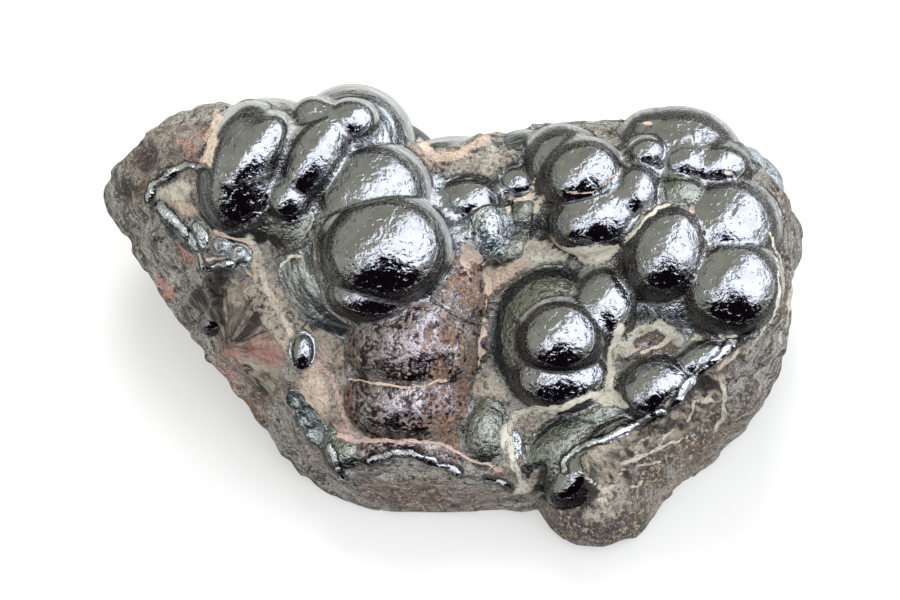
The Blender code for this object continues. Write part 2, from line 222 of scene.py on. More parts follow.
# Hollows where a piece of ore came away. The crest of a hollow is the top of the shape that is taken out.
PITS = (
    Dome(-22.2, 3.7, 1.6, 2.8, 1.5, 2.6, 24.0),
    Dome(27.2, -5.7, 2.0, 2.3, 1.1, 2.4, 40.0),
    Dome(-31.2, 15.4, -1.6, 2.2, 1.2, 2.2, 50.0),
)

# A block of massive ore is what is left inside all of its flat breaks. A break faces its bearing, in degrees
# round the face from across towards up, and its slope, in degrees from the face towards out.
Break = namedtuple("Break", "bearing slope across up out")
LEFT_BLOCK = (
    Break(0.0, 90.0, -12.0, 0.0, 0.4),
    Break(0.0, 0.0, 8.0, 0.0, 0.0),
    Break(196.0, 47.0, -25.2, 6.0, -0.6),
    Break(158.0, 52.0, -25.6, 15.0, 0.2),
    Break(124.0, 40.0, -24.0, 18.6, -0.6),
    Break(216.0, 46.0, -18.2, -3.0, -0.4),
    Break(236.0, 42.0, -14.4, -10.8, -0.6),
    Break(94.0, 30.0, -15.0, 20.4, -1.6),
    Break(99.0, -22.0, -19.5, 21.7, -7.0),
    Break(113.0, -12.0, -26.0, 20.6, -7.0),
    Break(127.0, -6.0, -30.2, 18.6, -8.0),
    Break(144.0, -4.0, -33.6, 16.2, -8.0),
    Break(168.0, -4.0, -35.6, 13.4, -9.0),
    Break(192.0, -6.0, -35.8, 10.6, -9.0),
    Break(217.0, -10.0, -30.8, 4.2, -8.0),
    Break(219.0, -6.0, -23.2, -6.4, -8.0),
    Break(224.0, -8.0, -16.2, -14.8, -8.0),
    Break(254.0, -8.0, -9.0, -19.5, -6.0),
    Break(274.0, -8.0, 0.6, -19.9, -6.0),
    Break(50.0, -14.0, -7.6, 18.6, -5.0),
    Break(80.0, -18.0, 0.0, 17.4, -4.0),
    Break(186.0, -44.0, -33.4, 8.0, -17.0),
    Break(128.0, -38.0, -28.0, 15.0, -20.0),
    Break(94.0, -52.0, -14.0, 17.6, -20.0),
    Break(216.0, -40.0, -27.0, 0.0, -13.4),
)
RIGHT_BLOCK = (
    Break(0.0, 90.0, 18.0, 0.0, 0.3),
    Break(180.0, 0.0, -4.0, 0.0, 0.0),
    Break(4.0, 40.0, 32.6, 2.0, 0.0),
    Break(-48.0, 38.0, 20.9, -10.2, 1.6),
    Break(-26.0, 52.0, 29.4, -3.2, 0.6),
    Break(268.0, 40.0, 6.0, -15.0, -0.4),
    Break(92.0, 34.0, 18.0, 17.6, -1.0),
    Break(0.0, -4.0, 33.4, 2.0, -8.0),
    Break(-20.0, -6.0, 33.1, -4.0, -8.0),
    Break(-33.0, -4.0, 31.7, -8.6, -8.0),
    Break(-46.0, -6.0, 28.8, -13.4, -8.0),
    Break(-60.0, -6.0, 24.4, -17.2, -7.0),
    Break(-78.0, -8.0, 18.0, -19.6, -5.0),
    Break(44.0, -4.0, 31.4, 13.4, -7.0),
    Break(18.0, -8.0, 33.7, 8.8, -8.0),
    Break(88.0, -18.0, 20.0, 19.3, -5.0),
    Break(108.0, -12.0, 5.0, 17.8, -5.0),
    Break(264.0, -6.0, 8.0, -19.2, -4.0),
    Break(6.0, -36.0, 33.6, 4.0, -14.0),
    Break(-38.0, -32.0, 29.0, -10.0, -9.6),
    Break(84.0, -50.0, 20.0, 16.0, -19.0),
)

# Breaks that came after the lower domes had grown: each slices off what stands past it, over its width.
Slice = namedtuple("Slice", "bearing slope across up out width")
LATE_BREAKS = (
    Slice(-48.0, 38.0, 20.9, -10.2, 1.9, 46.0),
    Slice(268.0, 40.0, -3.4, -14.5, 1.1, 25.0),
)
BREAK_WEAR = 0.5
JOIN_FILLET = 0.5
PIT_FILLET = 0.4
SLICE_FILLET = 0.3
BASE_WEAR = 0.15

# Marks on the domed face are placed where they show in the picture: across and up, in drawn millimetres on
# the plane through the floor of the face. A hue of 0 is tan clay, 0.6 is peach and 1 is pink.
Seam = namedtuple("Seam", "width hue places")
SEAMS = (
    Seam(0.6, 0.7, ((0.1, 8.9), (1.0, 7.55), (2.1, 6.1), (3.1, 4.8), (3.5, 2.6))),
    Seam(0.28, 0.7, ((3.5, 2.6), (3.0, 0.6), (2.7, -2.4), (2.6, -4.6), (2.8, -6.4))),
    Seam(0.45, 0.4, ((5.2, 12.1), (5.5, 10.4), (5.6, 8.6))),
    Seam(0.4, 0.5, ((5.2, 12.1), (6.1, 11.7), (6.8, 11.7), (7.8, 12.2), (8.0, 13.6))),
    Seam(0.8, 0.25, ((7.8, 12.2), (8.6, 11.6), (8.4, 9.8), (8.7, 8.1), (9.0, 7.0))),
    Seam(0.18, 0.9, ((11.4, 12.3), (13.6, 12.4), (15.2, 13.2), (16.4, 14.6))),
    Seam(1.7, 0.1, ((7.6, 5.8), (10.2, 6.3), (13.0, 6.0), (15.2, 6.4))),
    Seam(0.42, 0.1, ((15.2, 6.4), (16.8, 7.1), (18.0, 8.4))),
    Seam(0.24, 0.0, ((18.0, 8.4), (19.2, 9.8), (20.4, 10.9), (21.8, 11.3))),
    Seam(1.1, 0.6, ((7.6, 5.8), (5.8, 4.6), (4.4, 3.6), (3.5, 2.6))),
    Seam(0.9, 0.0, ((16.6, -1.1), (16.1, -2.9), (15.7, -4.6), (15.6, -6.4), (15.5, -8.0))),
    Seam(0.7, 0.0, ((17.0, -9.0), (15.5, -8.2), (13.8, -8.0), (12.1, -8.6), (10.6, -9.3), (9.4, -9.5))),
    Seam(1.0, 0.1, ((17.4, -3.6), (17.6, -2.2), (18.9, -1.2), (20.6, -0.9), (21.8, -1.5), (22.6, -2.5))),
    Seam(0.5, 0.4, ((17.4, -3.6), (19.1, -3.5), (20.6, -3.0), (21.4, -2.2))),
    Seam(0.45, 0.2, ((22.6, -2.5), (24.6, -2.2), (26.7, -2.0), (28.4, -2.2))),
    Seam(0.5, 0.1, ((10.3, -9.5), (7.6, -9.3), (6.1, -9.7), (5.6, -11.4), (5.8, -13.9), (6.6, -16.2))),
    Seam(0.5, 0.1, ((6.6, -16.2), (7.4, -17.2))),
    Seam(0.24, 0.6, ((-10.4, -6.2), (-8.2, -6.7), (-5.4, -7.1), (-2.9, -7.0), (-0.6, -6.4))),
    Seam(0.42, 0.85, ((-13.2, -11.2), (-10.9, -12.2), (-8.8, -12.4), (-4.9, -12.5), (-1.4, -12.7))),
    Seam(0.30, 0.85, ((-1.4, -12.7), (0.4, -13.6), (1.8, -14.6), (3.6, -14.8), (4.9, -15.4))),
    Seam(0.6, 0.3, ((-20.6, 7.6), (-19.7, 5.4), (-18.8, 3.1), (-17.4, 0.3), (-16.1, -2.3))),
    Seam(0.4, 1.0, ((-14.8, -4.0), (-12.3, -5.8), (-11.6, -8.4), (-10.6, -11.0))),
    Seam(0.9, 0.7, ((-3.4, 17.3), (-2.0, 15.8), (-0.2, 15.8), (1.5, 16.5), (3.2, 17.2))),
    Seam(0.95, 0.6, ((-23.6, 19.9), (-24.2, 18.4), (-24.4, 16.8), (-24.9, 15.2))),
    Seam(0.4, 0.6, ((-23.9, 8.5), (-22.2, 7.8), (-20.6, 7.4))),
    Seam(0.35, 0.4, ((-24.4, 5.8), (-22.9, 6.0), (-21.4, 5.5), (-19.9, 4.1))),
    Seam(0.28, 0.1, ((16.4, -14.8), (18.0, -14.0), (20.1, -13.2), (22.4, -12.4), (24.1, -11.9))),
    Seam(0.25, 0.2, ((12.6, -15.6), (13.8, -16.6), (15.0, -17.2), (14.8, -18.7), (15.8, -20.4))),
    Seam(0.22, 0.2, ((15.0, -17.2), (16.2, -16.4), (16.8, -15.2), (18.6, -14.8), (20.4, -14.6))),
    Seam(0.22, 0.1, ((16.0, -18.2), (17.4, -17.2), (18.8, -16.6), (19.6, -15.6))),
    Seam(0.2, 0.1, ((18.0, -14.0), (18.4, -12.6), (19.4, -12.0))),
    Seam(0.2, 0.1, ((20.1, -13.2), (20.9, -11.9), (22.0, -11.4))),
    Seam(0.4, 0.2, ((28.1, -3.4), (27.1, -5.6), (26.8, -7.9), (27.1, -9.9), (25.8, -11.4))),
    Seam(0.35, 0.1, ((25.7, -8.4), (24.0, -8.6), (23.4, -10.4))),
    Seam(0.26, 0.0, ((31.6, 8.4), (32.4, 5.4), (32.6, 2.4), (31.8, -0.6), (30.2, -2.2))),
    Seam(0.3, 0.2, ((33.6, 3.6), (33.4, 0.4), (32.6, -2.6))),
    Seam(0.3, 0.2, ((-17.2, 4.9), (-16.4, 5.9), (-15.2, 6.0))),
)

# Patches are ovals: clay lying on the stone, rusty or pink stains, and dark places painted near-black.
Patch = namedtuple("Patch", "across up wide tall turn hue strength", defaults=[0.0, 0.3, 1.0])
CLAY_PATCHES = (
    Patch(-13.9, -7.6, 1.9, 3.2, 12.0, 0.5, 0.9),
    Patch(-10.9, -11.7, 2.2, 0.7, -20.0, 0.9, 0.9),
    Patch(8.8, 6.7, 1.5, 1.3),
    Patch(15.2, -8.3, 1.5, 0.8, 0.0, 0.0),
    Patch(-20.0, 6.3, 0.8, 1.6, 20.0, 0.2),
    Patch(-27.9, 12.4, 1.9, 1.1, 15.0, 0.2, 0.95),
    Patch(-26.8, 10.9, 1.5, 0.7, -20.0, 0.6),
    Patch(4.6, 4.0, 1.5, 0.7, 35.0, 0.6),
    Patch(1.2, 5.2, 0.7, 2.2, 12.0, 0.8, 0.75),
    Patch(26.9, -5.2, 0.9, 1.3, -20.0, 0.6),
    Patch(15.6, -18.2, 1.8, 1.6, 0.0, 0.2, 0.50),
    Patch(17.4, -14.8, 2.2, 1.1, 20.0, 0.1, 0.46),
    Patch(5.1, -12.2, 0.6, 1.8, -5.0, 0.1, 0.9),
    Patch(19.3, 19.2, 1.1, 0.3, 0.0, 0.7, 0.8),
    Patch(27.3, 14.3, 0.6, 0.2, -15.0, 0.2),
    Patch(23.8, 10.6, 0.3, 0.5, 0.0, 0.9),
    Patch(-5.4, -13.7, 3.2, 0.6, 0.0, 0.8, 0.7),
    Patch(6.6, -17.2, 0.8, 0.5, 20.0, 0.1),
)
STAINS = (
    Patch(-18.6, -3.6, 1.9, 1.5, -20.0, 1.0),
    Patch(-22.2, -3.5, 1.0, 0.9, 0.0, 1.0),
    Patch(-28.9, 2.8, 1.5, 0.7, -50.0, 1.0),
    Patch(-26.6, 6.4, 1.2, 1.2, 0.0, 0.9),
    Patch(-26.0, 16.4, 2.6, 0.8, -42.0, 0.9, 0.75),
    Patch(-24.8, 17.6, 2.2, 0.6, -50.0, 0.8, 0.7),
    Patch(-3.4, -17.8, 9.0, 2.2, 0.0, 0.25, 0.8),
    Patch(-7.4, -16.9, 3.4, 0.8, 0.0, 0.9, 0.7),
    Patch(-24.0, -6.6, 2.2, 0.8, -45.0, 0.9, 0.9),
    Patch(-19.2, -7.6, 1.8, 1.6, 0.0, 0.2),
    Patch(-22.6, -6.2, 2.2, 2.4, 0.0, 0.95, 0.8),
    Patch(-20.2, -9.4, 2.8, 1.6, -42.0, 0.5, 0.8),
    Patch(-16.8, -14.8, 3.2, 1.5, -45.0, 0.25, 0.75),
    Patch(-33.0, 9.0, 1.4, 2.6, 20.0, 0.3, 0.6),
    Patch(-31.4, 12.6, 1.8, 2.2, 0.0, 0.2, 0.9),
    Patch(17.6, -15.4, 6.0, 3.4, 25.0, 0.0, 0.95),
    Patch(14.6, -20.6, 5.4, 3.0, 0.0, 0.0),
    Patch(21.6, -9.6, 3.0, 1.6, 38.0, 0.2),
    Patch(25.2, -9.8, 1.8, 1.6, 0.0, 0.0),
    Patch(32.8, 3.0, 0.8, 5.0, 0.0, 0.3, 0.7),
    Patch(13.8, -17.4, 3.0, 2.6, 0.0, 0.0),
    Patch(24.4, -12.4, 4.6, 2.2, 42.0, 0.1, 0.8),
)
BLACK_PATCHES = (
    Patch(-23.4, 3.4, 1.6, 2.8, -35.0),
    Patch(-20.0, 1.0, 1.2, 0.6, 30.0, 0.3, 0.8),
    Patch(-32.2, 12.8, 1.6, 2.0, 20.0, 0.3, 0.8),
    Patch(13.2, -17.6, 1.3, 2.2, -12.0),
    Patch(23.2, -7.4, 1.2, 1.8, -45.0),
    Patch(22.0, -8.6, 0.5, 1.8, -40.0, 0.3, 1.0),
    Patch(24.6, -6.8, 0.5, 1.6, -35.0, 0.3, 1.0),
    Patch(26.4, -5.2, 0.5, 1.3, -35.0, 0.3, 1.0),
    Patch(28.4, -4.4, 0.7, 0.9, -20.0, 0.3, 0.9),
    Patch(13.8, -15.6, 0.8, 1.2, -10.0, 0.3, 0.9),
    Patch(20.6, -11.2, 2.0, 0.8, 30.0),
    Patch(-11.6, -14.4, 1.2, 1.2, 0.0),
)

# Fresh broken edges of the shell of bright ore: low ridges that catch the light, with a painted highlight
# along each crest and painted shade beside it.
Ridge = namedtuple("Ridge", "height width places")
RIDGES = (
    Ridge(0.59, 0.38, ((-25.1, 14.8), (-26.6, 15.0), (-28.5, 14.2), (-30.0, 13.0), (-30.3, 11.9))),
    Ridge(0.59, 0.42, ((-29.3, 11.0), (-27.8, 9.3), (-26.3, 8.1), (-25.1, 6.0), (-24.7, 5.1))),
    Ridge(0.42, 0.30, ((-24.6, 4.8), (-23.4, 5.2), (-22.0, 5.3))),
    Ridge(
        0.51,
        0.34,
        (
            (-8.4, -14.3),
            (-6.4, -13.7),
            (-4.4, -13.6),
            (-2.4, -14.2),
            (-0.8, -14.8),
            (0.6, -15.4),
        ),
    ),
    Ridge(0.34, 0.30, ((3.2, -15.8), (4.4, -16.1), (5.6, -16.8))),
    Ridge(0.42, 0.30, ((-12.4, -12.9), (-11.8, -14.4), (-10.9, -16.0))),
    Ridge(0.40, 0.34, ((27.9, -2.6), (25.9, -4.5), (23.8, -6.1), (22.4, -7.9), (21.6, -8.9))),
    Ridge(
        0.35,
        0.36,
        (
            (20.8, -9.4),
            (19.2, -10.2),
            (17.0, -11.3),
            (15.4, -12.1),
            (13.6, -12.8),
            (12.2, -13.4),
            (11.3, -14.4),
            (11.1, -15.4),
        ),
    ),
    Ridge(0.34, 0.30, ((28.7, -2.3), (30.3, -1.5))),
)

# Below these fresh edges the shell is gone: outlines on the face, inside which a dome shows broken ore.
BARE_PARTS = (
    (
        (29.0, -2.6),
        (27.4, -3.4),
        (25.6, -5.0),
        (23.6, -6.6),
        (22.1, -8.4),
        (20.3, -10.4),
        (17.2, -11.8),
        (15.7, -12.5),
        (13.8, -13.2),
        (12.8, -14.2),
        (12.6, -15.4),
        (13.2, -16.8),
        (13.3, -18.2),
        (12.4, -19.8),
        (10.0, -22.0),
        (14.0, -30.0),
        (44.0, -30.0),
        (44.0, -3.0),
    ),
    (
        (-12.6, -15.9),
        (-10.6, -15.3),
        (-8.4, -14.6),
        (-6.4, -14.0),
        (-4.4, -13.9),
        (-2.4, -14.5),
        (-0.8, -15.1),
        (0.6, -15.7),
        (3.2, -16.1),
        (5.6, -17.1),
        (6.4, -24.0),
        (-13.0, -24.0),
    ),
)

# The broken ore is fibrous in places. The fibres fan out from a point, shown as places of the face, towards
# the fan's bearing, and run in radial ribs.
Fan = namedtuple("Fan", "across up out wide tall bearing")
FANS = (
    Fan(-22.8, -3.2, -4.2, 6.2, 7.4, 40.0),
    Fan(20.0, -4.0, -4.0, 7.5, 9.0, -40.0),
    Fan(12.0, -12.0, -4.0, 7.5, 7.5, -45.0),
)

# The grids start as an ellipsoid round the stone. A round gives the squares along each side of the cube,
# coarse first, and how often they are eased. Lengths are drawn millimetres.
START_SIZES = (38.0, 25.0, 24.0)
START_MIDDLE = (0.0, 3.0, -8.0)
ROUNDS = ((15, 60), (30, 30), (60, 16), (120, 7))
EASE = 0.7
LONGEST_MOVE = 1.5
FAR_OFF = 1e3

# Lattices of random values, from which smooth noise and broken facets are worked out.
CELLS = 32
LATTICE = np.random.default_rng(1201).random((CELLS, CELLS, CELLS))
CHIP_LATTICE = np.random.default_rng(77).random((CELLS, CELLS, CELLS, 7))
OCTAVE_SHIFT = 7.3
FACET_SHARPNESS = 9.0

# Where marks and finishes begin and end. A pair is the start and the end of a soft step. Depths, distances
# and places are drawn millimetres, and a facing or a tilt is a part of the slope's length.
LEFT_HALF = 2.0
FACING = (-0.15, 0.15)
FRONT = (-0.35, 0.1)
STRAY = 0.28
STRAY_SIZE = 0.9
SKIN_OUTSIDE = (0.08, 0.3)
SKIN_INSIDE = (-0.7, -0.35)
# The grooves between forms are painted darker, as shade; the edge beads' grooves less so.
GROOVE_WIDTH = 0.28
BEAD_GROOVES_LIGHTER = 0.8
MIDDLE_HUE = 0.3
SEAM_SWELL = 0.35
SEAM_SWELL_SIZE = 1.6
FLOOR_DEPTH = (-1.2, -0.2)
FLOOR_FACING = (0.75, 0.92)
FLOOR_CLAY = 0.50
SATIN_SHARE = 0.85
RIM_TILT = (0.62, 0.9)
RIM_LEFT = 0.4
RIM_RIGHT = 0.15
# The bloom is a painted reflection of the white card: a pale rim where a dome turns steeply away, on its
# upper side and towards the front, weaker on the right half.
REFLECTION_TILT = (0.78, 0.96)
REFLECTION_UP = (-0.3, 0.3)
REFLECTION_LEAN = 0.3
REFLECTION_FRONT = (-0.05, 0.2)
REFLECTION_RIGHT = 0.75
# The skirt is painted shade: a ragged dark ring round each dome where its flank turns steeply away from the
# face, weaker where the flank faces back.
SKIRT_TILT = (0.64, 0.80)
SKIRT_FRONT = (-1.0, 0.1)
SKIRT_BACK = 0.4
OCHRE_RIGHT = (-6.5, 0.5)
OCHRE_LEFT = (-8.6, -10.8)
OCHRE_LEFT_SHARE = 0.9
FAN_POINT = 0.4
FAN_REACH = 6.0
FAN_BORDER = (0.8, 1.1)
FAN_SIDE = (-1.0, 0.8)
FANS_APART = 37.0

# Relief that is in the mesh, in drawn millimetres: its height, and the size of its forms.
Relief = namedtuple("Relief", "surface height size octaves")
RELIEFS = (
    Relief("whole", 0.045, 2.6, 2),
    Relief("whole", 0.012, 1.0, 2),
    Relief("grainy", 0.13, 1.2, 3),
    Relief("dusty", 0.09, 1.3, 3),
    Relief("worn", 0.16, 1.1, 3),
)
RING_HEIGHT = 0.03
RING_SIZES = (2.8, 2.8, 0.5)
LAYER_HEIGHT = 0.16
LAYER_SIZES = (3.4, 3.4, 0.75)
RIB_HEIGHT = 0.13
RIB_TURN = 2.3
RIB_STRAY = 1.5
RIB_STRAY_SIZE = 3.0
FIBRE_HEIGHT = 0.12
FIBRE_SIZE = 0.5
CLAY_BODY = (0.3, 0.6)
CLAY_HEIGHT = 0.07
CLAY_SIZE = 1.1
RIDGE_UNEVEN = 0.5
RIDGE_UNEVEN_SIZE = 0.9
ROCK_LIFT = 0.2
FAN_CHIPS_LOST = 0.6
WORN_CHIPS_LOST = 0.5
BASE_FLAT = (0.1, 1.4)

# Facets of broken ore: height, size, and how far their lattice is shifted.
FACETS = ((0.42, 4.2, 0.0), (0.34, 1.7, 50.0))

# The masks that the mesh carries for its material.
MASKS = (
    "clay",
    "clay_hue",
    "groove",
    "slate",
    "dusty",
    "ochre",
    "grainy",
    "satin",
    "skirt_shade",
    "rim_reflection",
    "rock",
    "stain",
    "stain_hue",
    "black",
    "ridge",
    "fan_share",
)

# The spaces in which the material's patterns are laid: real millimetres on the stone, the same tilted with
# the face, flattened into layers, and drawn out along the fans' fibres.
ONE_MM = 0.001
Place = namedtuple("Place", "start scale turn", defaults=[(0.0, 0.0, 0.0)])
PLACES = {
    "stone": Place("object", (1.0 / ONE_MM, 1.0 / ONE_MM, 1.0 / ONE_MM)),
    "tilted": Place("stone", (1.0, 1.0, 1.0), (-FACE_LEAN, 0.0, 0.0)),
    "layered": Place("tilted", (0.32, 0.32, 2.6)),
    "fanned": Place("fan", (1.0, 0.5, 0.7)),
    "wedged": Place("fan", (1.0, 0.4, 0.5)),
}

# The patterns are noise from 0 to 1: the size of their forms in real millimetres, how many finer octaves they
# have and how strong those are, and how far they are warped.
Pattern = namedtuple("Pattern", "place size detail roughness warp", defaults=[0.0])
PATTERNS = {
    "crumb": Pattern("stone", 0.16, 3.0, 0.65),
    "speck": Pattern("stone", 0.4, 3.0, 0.6),
    "wrinkle": Pattern("stone", 1.3, 2.0, 0.5, 0.5),
    "pit": Pattern("stone", 0.55, 1.0, 0.5),
    "blotch": Pattern("stone", 2.2, 4.0, 0.6),
    "broad": Pattern("stone", 8.0, 2.0, 0.5),
    "smut": Pattern("stone", 1.3, 5.0, 0.72),
    "mottle": Pattern("stone", 0.8, 4.0, 0.65),
    "spot": Pattern("stone", 1.1, 3.0, 0.6),
    "vein_net": Pattern("stone", 1.7, 4.0, 0.6),
    "layers": Pattern("layered", 1.0, 4.0, 0.6, 0.5),
    "crack_net": Pattern("layered", 0.9, 3.0, 0.55),
    "fibres": Pattern("fanned", 0.85, 4.0, 0.62),
    "wedges": Pattern("wedged", 2.4, 2.0, 0.5),
}

# A field is mixed from earlier ones: a weighted sum of its parts with an offset, without its sign where it is
# unsigned, then the largest of it and others, then a soft step from 0 to 1, then the product with others.
# "fray" breaks up the borders of all the masks.
Field = namedtuple("Field", "parts offset unsigned most step times", defaults=[0.0, False, (), None, ()])
ORE_FIELDS = {
    "fray": Field({"speck": 0.6, "blotch": 0.5}, -0.55),
    "in_clay": Field({"clay": 1.0, "fray": 1.1}, step=(0.40, 0.60)),
    "in_rock": Field({"rock": 1.0, "fray": 1.0}, step=(0.38, 0.62)),
    "edge": Field({"ridge": 1.0, "fray": 0.9}),
    # A painted highlight along each fresh edge, and painted shade in a dark band beside it.
    "glint": Field({"edge": 1.0}, step=(0.55, 0.68)),
    "no_glint": Field({"glint": -1.0}, 1.0),
    "shade_under_edge": Field({"edge": 1.0}, step=(0.12, 0.25), times=("no_glint",)),
    "stained": Field({"stain": 1.0, "fray": 1.8}, step=(0.36, 0.74)),
    "groove_shade": Field({"groove": 1.0, "fray": 0.9}, step=(0.4, 0.85)),
    "ring": Field({"skirt_shade": 1.0, "fray": 1.5}, step=(0.35, 0.8)),
    "dust": Field({"speck": 1.0, "blotch": 1.0, "ochre": 0.22}, step=(1.10, 1.26), times=("dusty",)),
    "pale_reflection": Field({"rim_reflection": 1.0, "fray": 1.2}, step=(0.3, 0.9)),
    "crinkle": Field({"blotch": 0.6, "speck": 0.4}),
    "grit": Field({"wrinkle": 0.5, "speck": 0.5}),
    "dimple": Field({"pit": 1.0}, step=(0.60, 0.72)),
    "fan_in_rock": Field({"fan_share": 1.0}, times=("in_rock",)),
    "in_fan": Field({"fan_in_rock": 1.0}, step=(0.3, 0.6)),
    "fibrous": Field({"fibres": 1.0}, step=(0.3, 0.6)),
    "in_black": Field({"black": 1.0, "fray": 1.6}, step=(0.42, 0.7)),
    "blackened": Field({"fibrous": 0.7}, 0.3, times=("in_black",)),
    "veins": Field({"vein_net": 1.0}, -0.5, unsigned=True, step=(0.024, 0.006)),
    "near_stain": Field({"stain": 1.0}, step=(0.25, 0.5)),
    "brown_stain": Field({"stain_hue": 1.0}, step=(0.3, 0.05)),
    "tan_veins": Field({"speck": 1.0}, step=(0.42, 0.56), times=("veins", "near_stain", "brown_stain")),
    "cracks": Field({"crack_net": 1.0}, -0.5, unsigned=True, step=(0.03, 0.0)),
    "open_cracks": Field({"blotch": 1.0}, step=(0.4, 0.6), times=("cracks",)),
    "mottling": Field({"mottle": 1.0}, step=(0.36, 0.52)),
    "mottled_stain": Field({"mottling": 0.65}, 0.35, times=("stained",)),
    "pink_fibres": Field({"stain_hue": 1.0}, step=(0.4, 0.8), times=("stained",)),
    "clay_tint": Field({"clay_hue": 1.0, "blotch": 0.6}, -0.3),
    "rock_or_clay": Field({"in_rock": 1.0}, most=("in_clay",)),
    "ochre_spots": Field({"spot": 1.0}, step=(0.68, 0.74), times=("rock_or_clay",)),
    "earth": Field({"in_clay": 1.0}, most=("in_rock", "dust"), times=("no_glint",)),
    "dull_groove_shade": Field({"groove_shade": 0.8}),
    "dull_rim_reflection": Field({"pale_reflection": 0.5}),
    "dull": Field({"earth": 1.0}, most=("dull_groove_shade", "dull_rim_reflection")),
    "metal": Field({"dull": -1.0}, 1.0),
    "matt_shell": Field({"slate": 1.0}, most=("grainy",)),
    "fan_sheen": Field({"in_fan": 0.8}),
    "sheen": Field({"in_black": 1.0}, most=("fan_sheen",)),
    "growth_rings": Field({"satin": 1.0}, most=("ring",)),
    "bare_rock": Field({"in_rock": 1.0}, times=("no_glint",)),
    "bare_fan": Field({"bare_rock": 1.0}, times=("in_fan",)),
}

# Fine relief in real millimetres: the surface that it lies on, and the height of each pattern there.
FINE_RELIEF = (
    (None, {"wrinkle": 0.22, "speck": 0.05, "crumb": 0.013, "dimple": -0.05}),
    ("growth_rings", {"speck": 0.05, "crumb": 0.04}),
    ("satin", {"layers": 0.12}),
    ("slate", {"speck": 0.09, "crumb": 0.05}),
    ("grainy", {"blotch": 0.35, "speck": 0.14, "crumb": 0.03}),
    ("dusty", {"blotch": 0.12, "speck": 0.08, "crumb": 0.03}),
    ("bare_rock", {"speck": 0.5, "crumb": 0.16, "layers": 0.35, "cracks": -0.1}),
    ("bare_fan", {"fibres": 0.6}),
    ("in_clay", {"speck": 0.12, "crumb": 0.05, "blotch": 0.2}),
)

# A coat of paint lies where its field does: through its soft step, where it has one, and times its strength.
# Colours and plain numbers are mixed alike: the mixing node's kind, its two input sockets and its output.
Coat = namedtuple("Coat", "field paint strength step", defaults=[1.0, None])
COLOURS = ("RGBA", 6, 7, 2)
NUMBERS = ("FLOAT", 2, 3, 0)

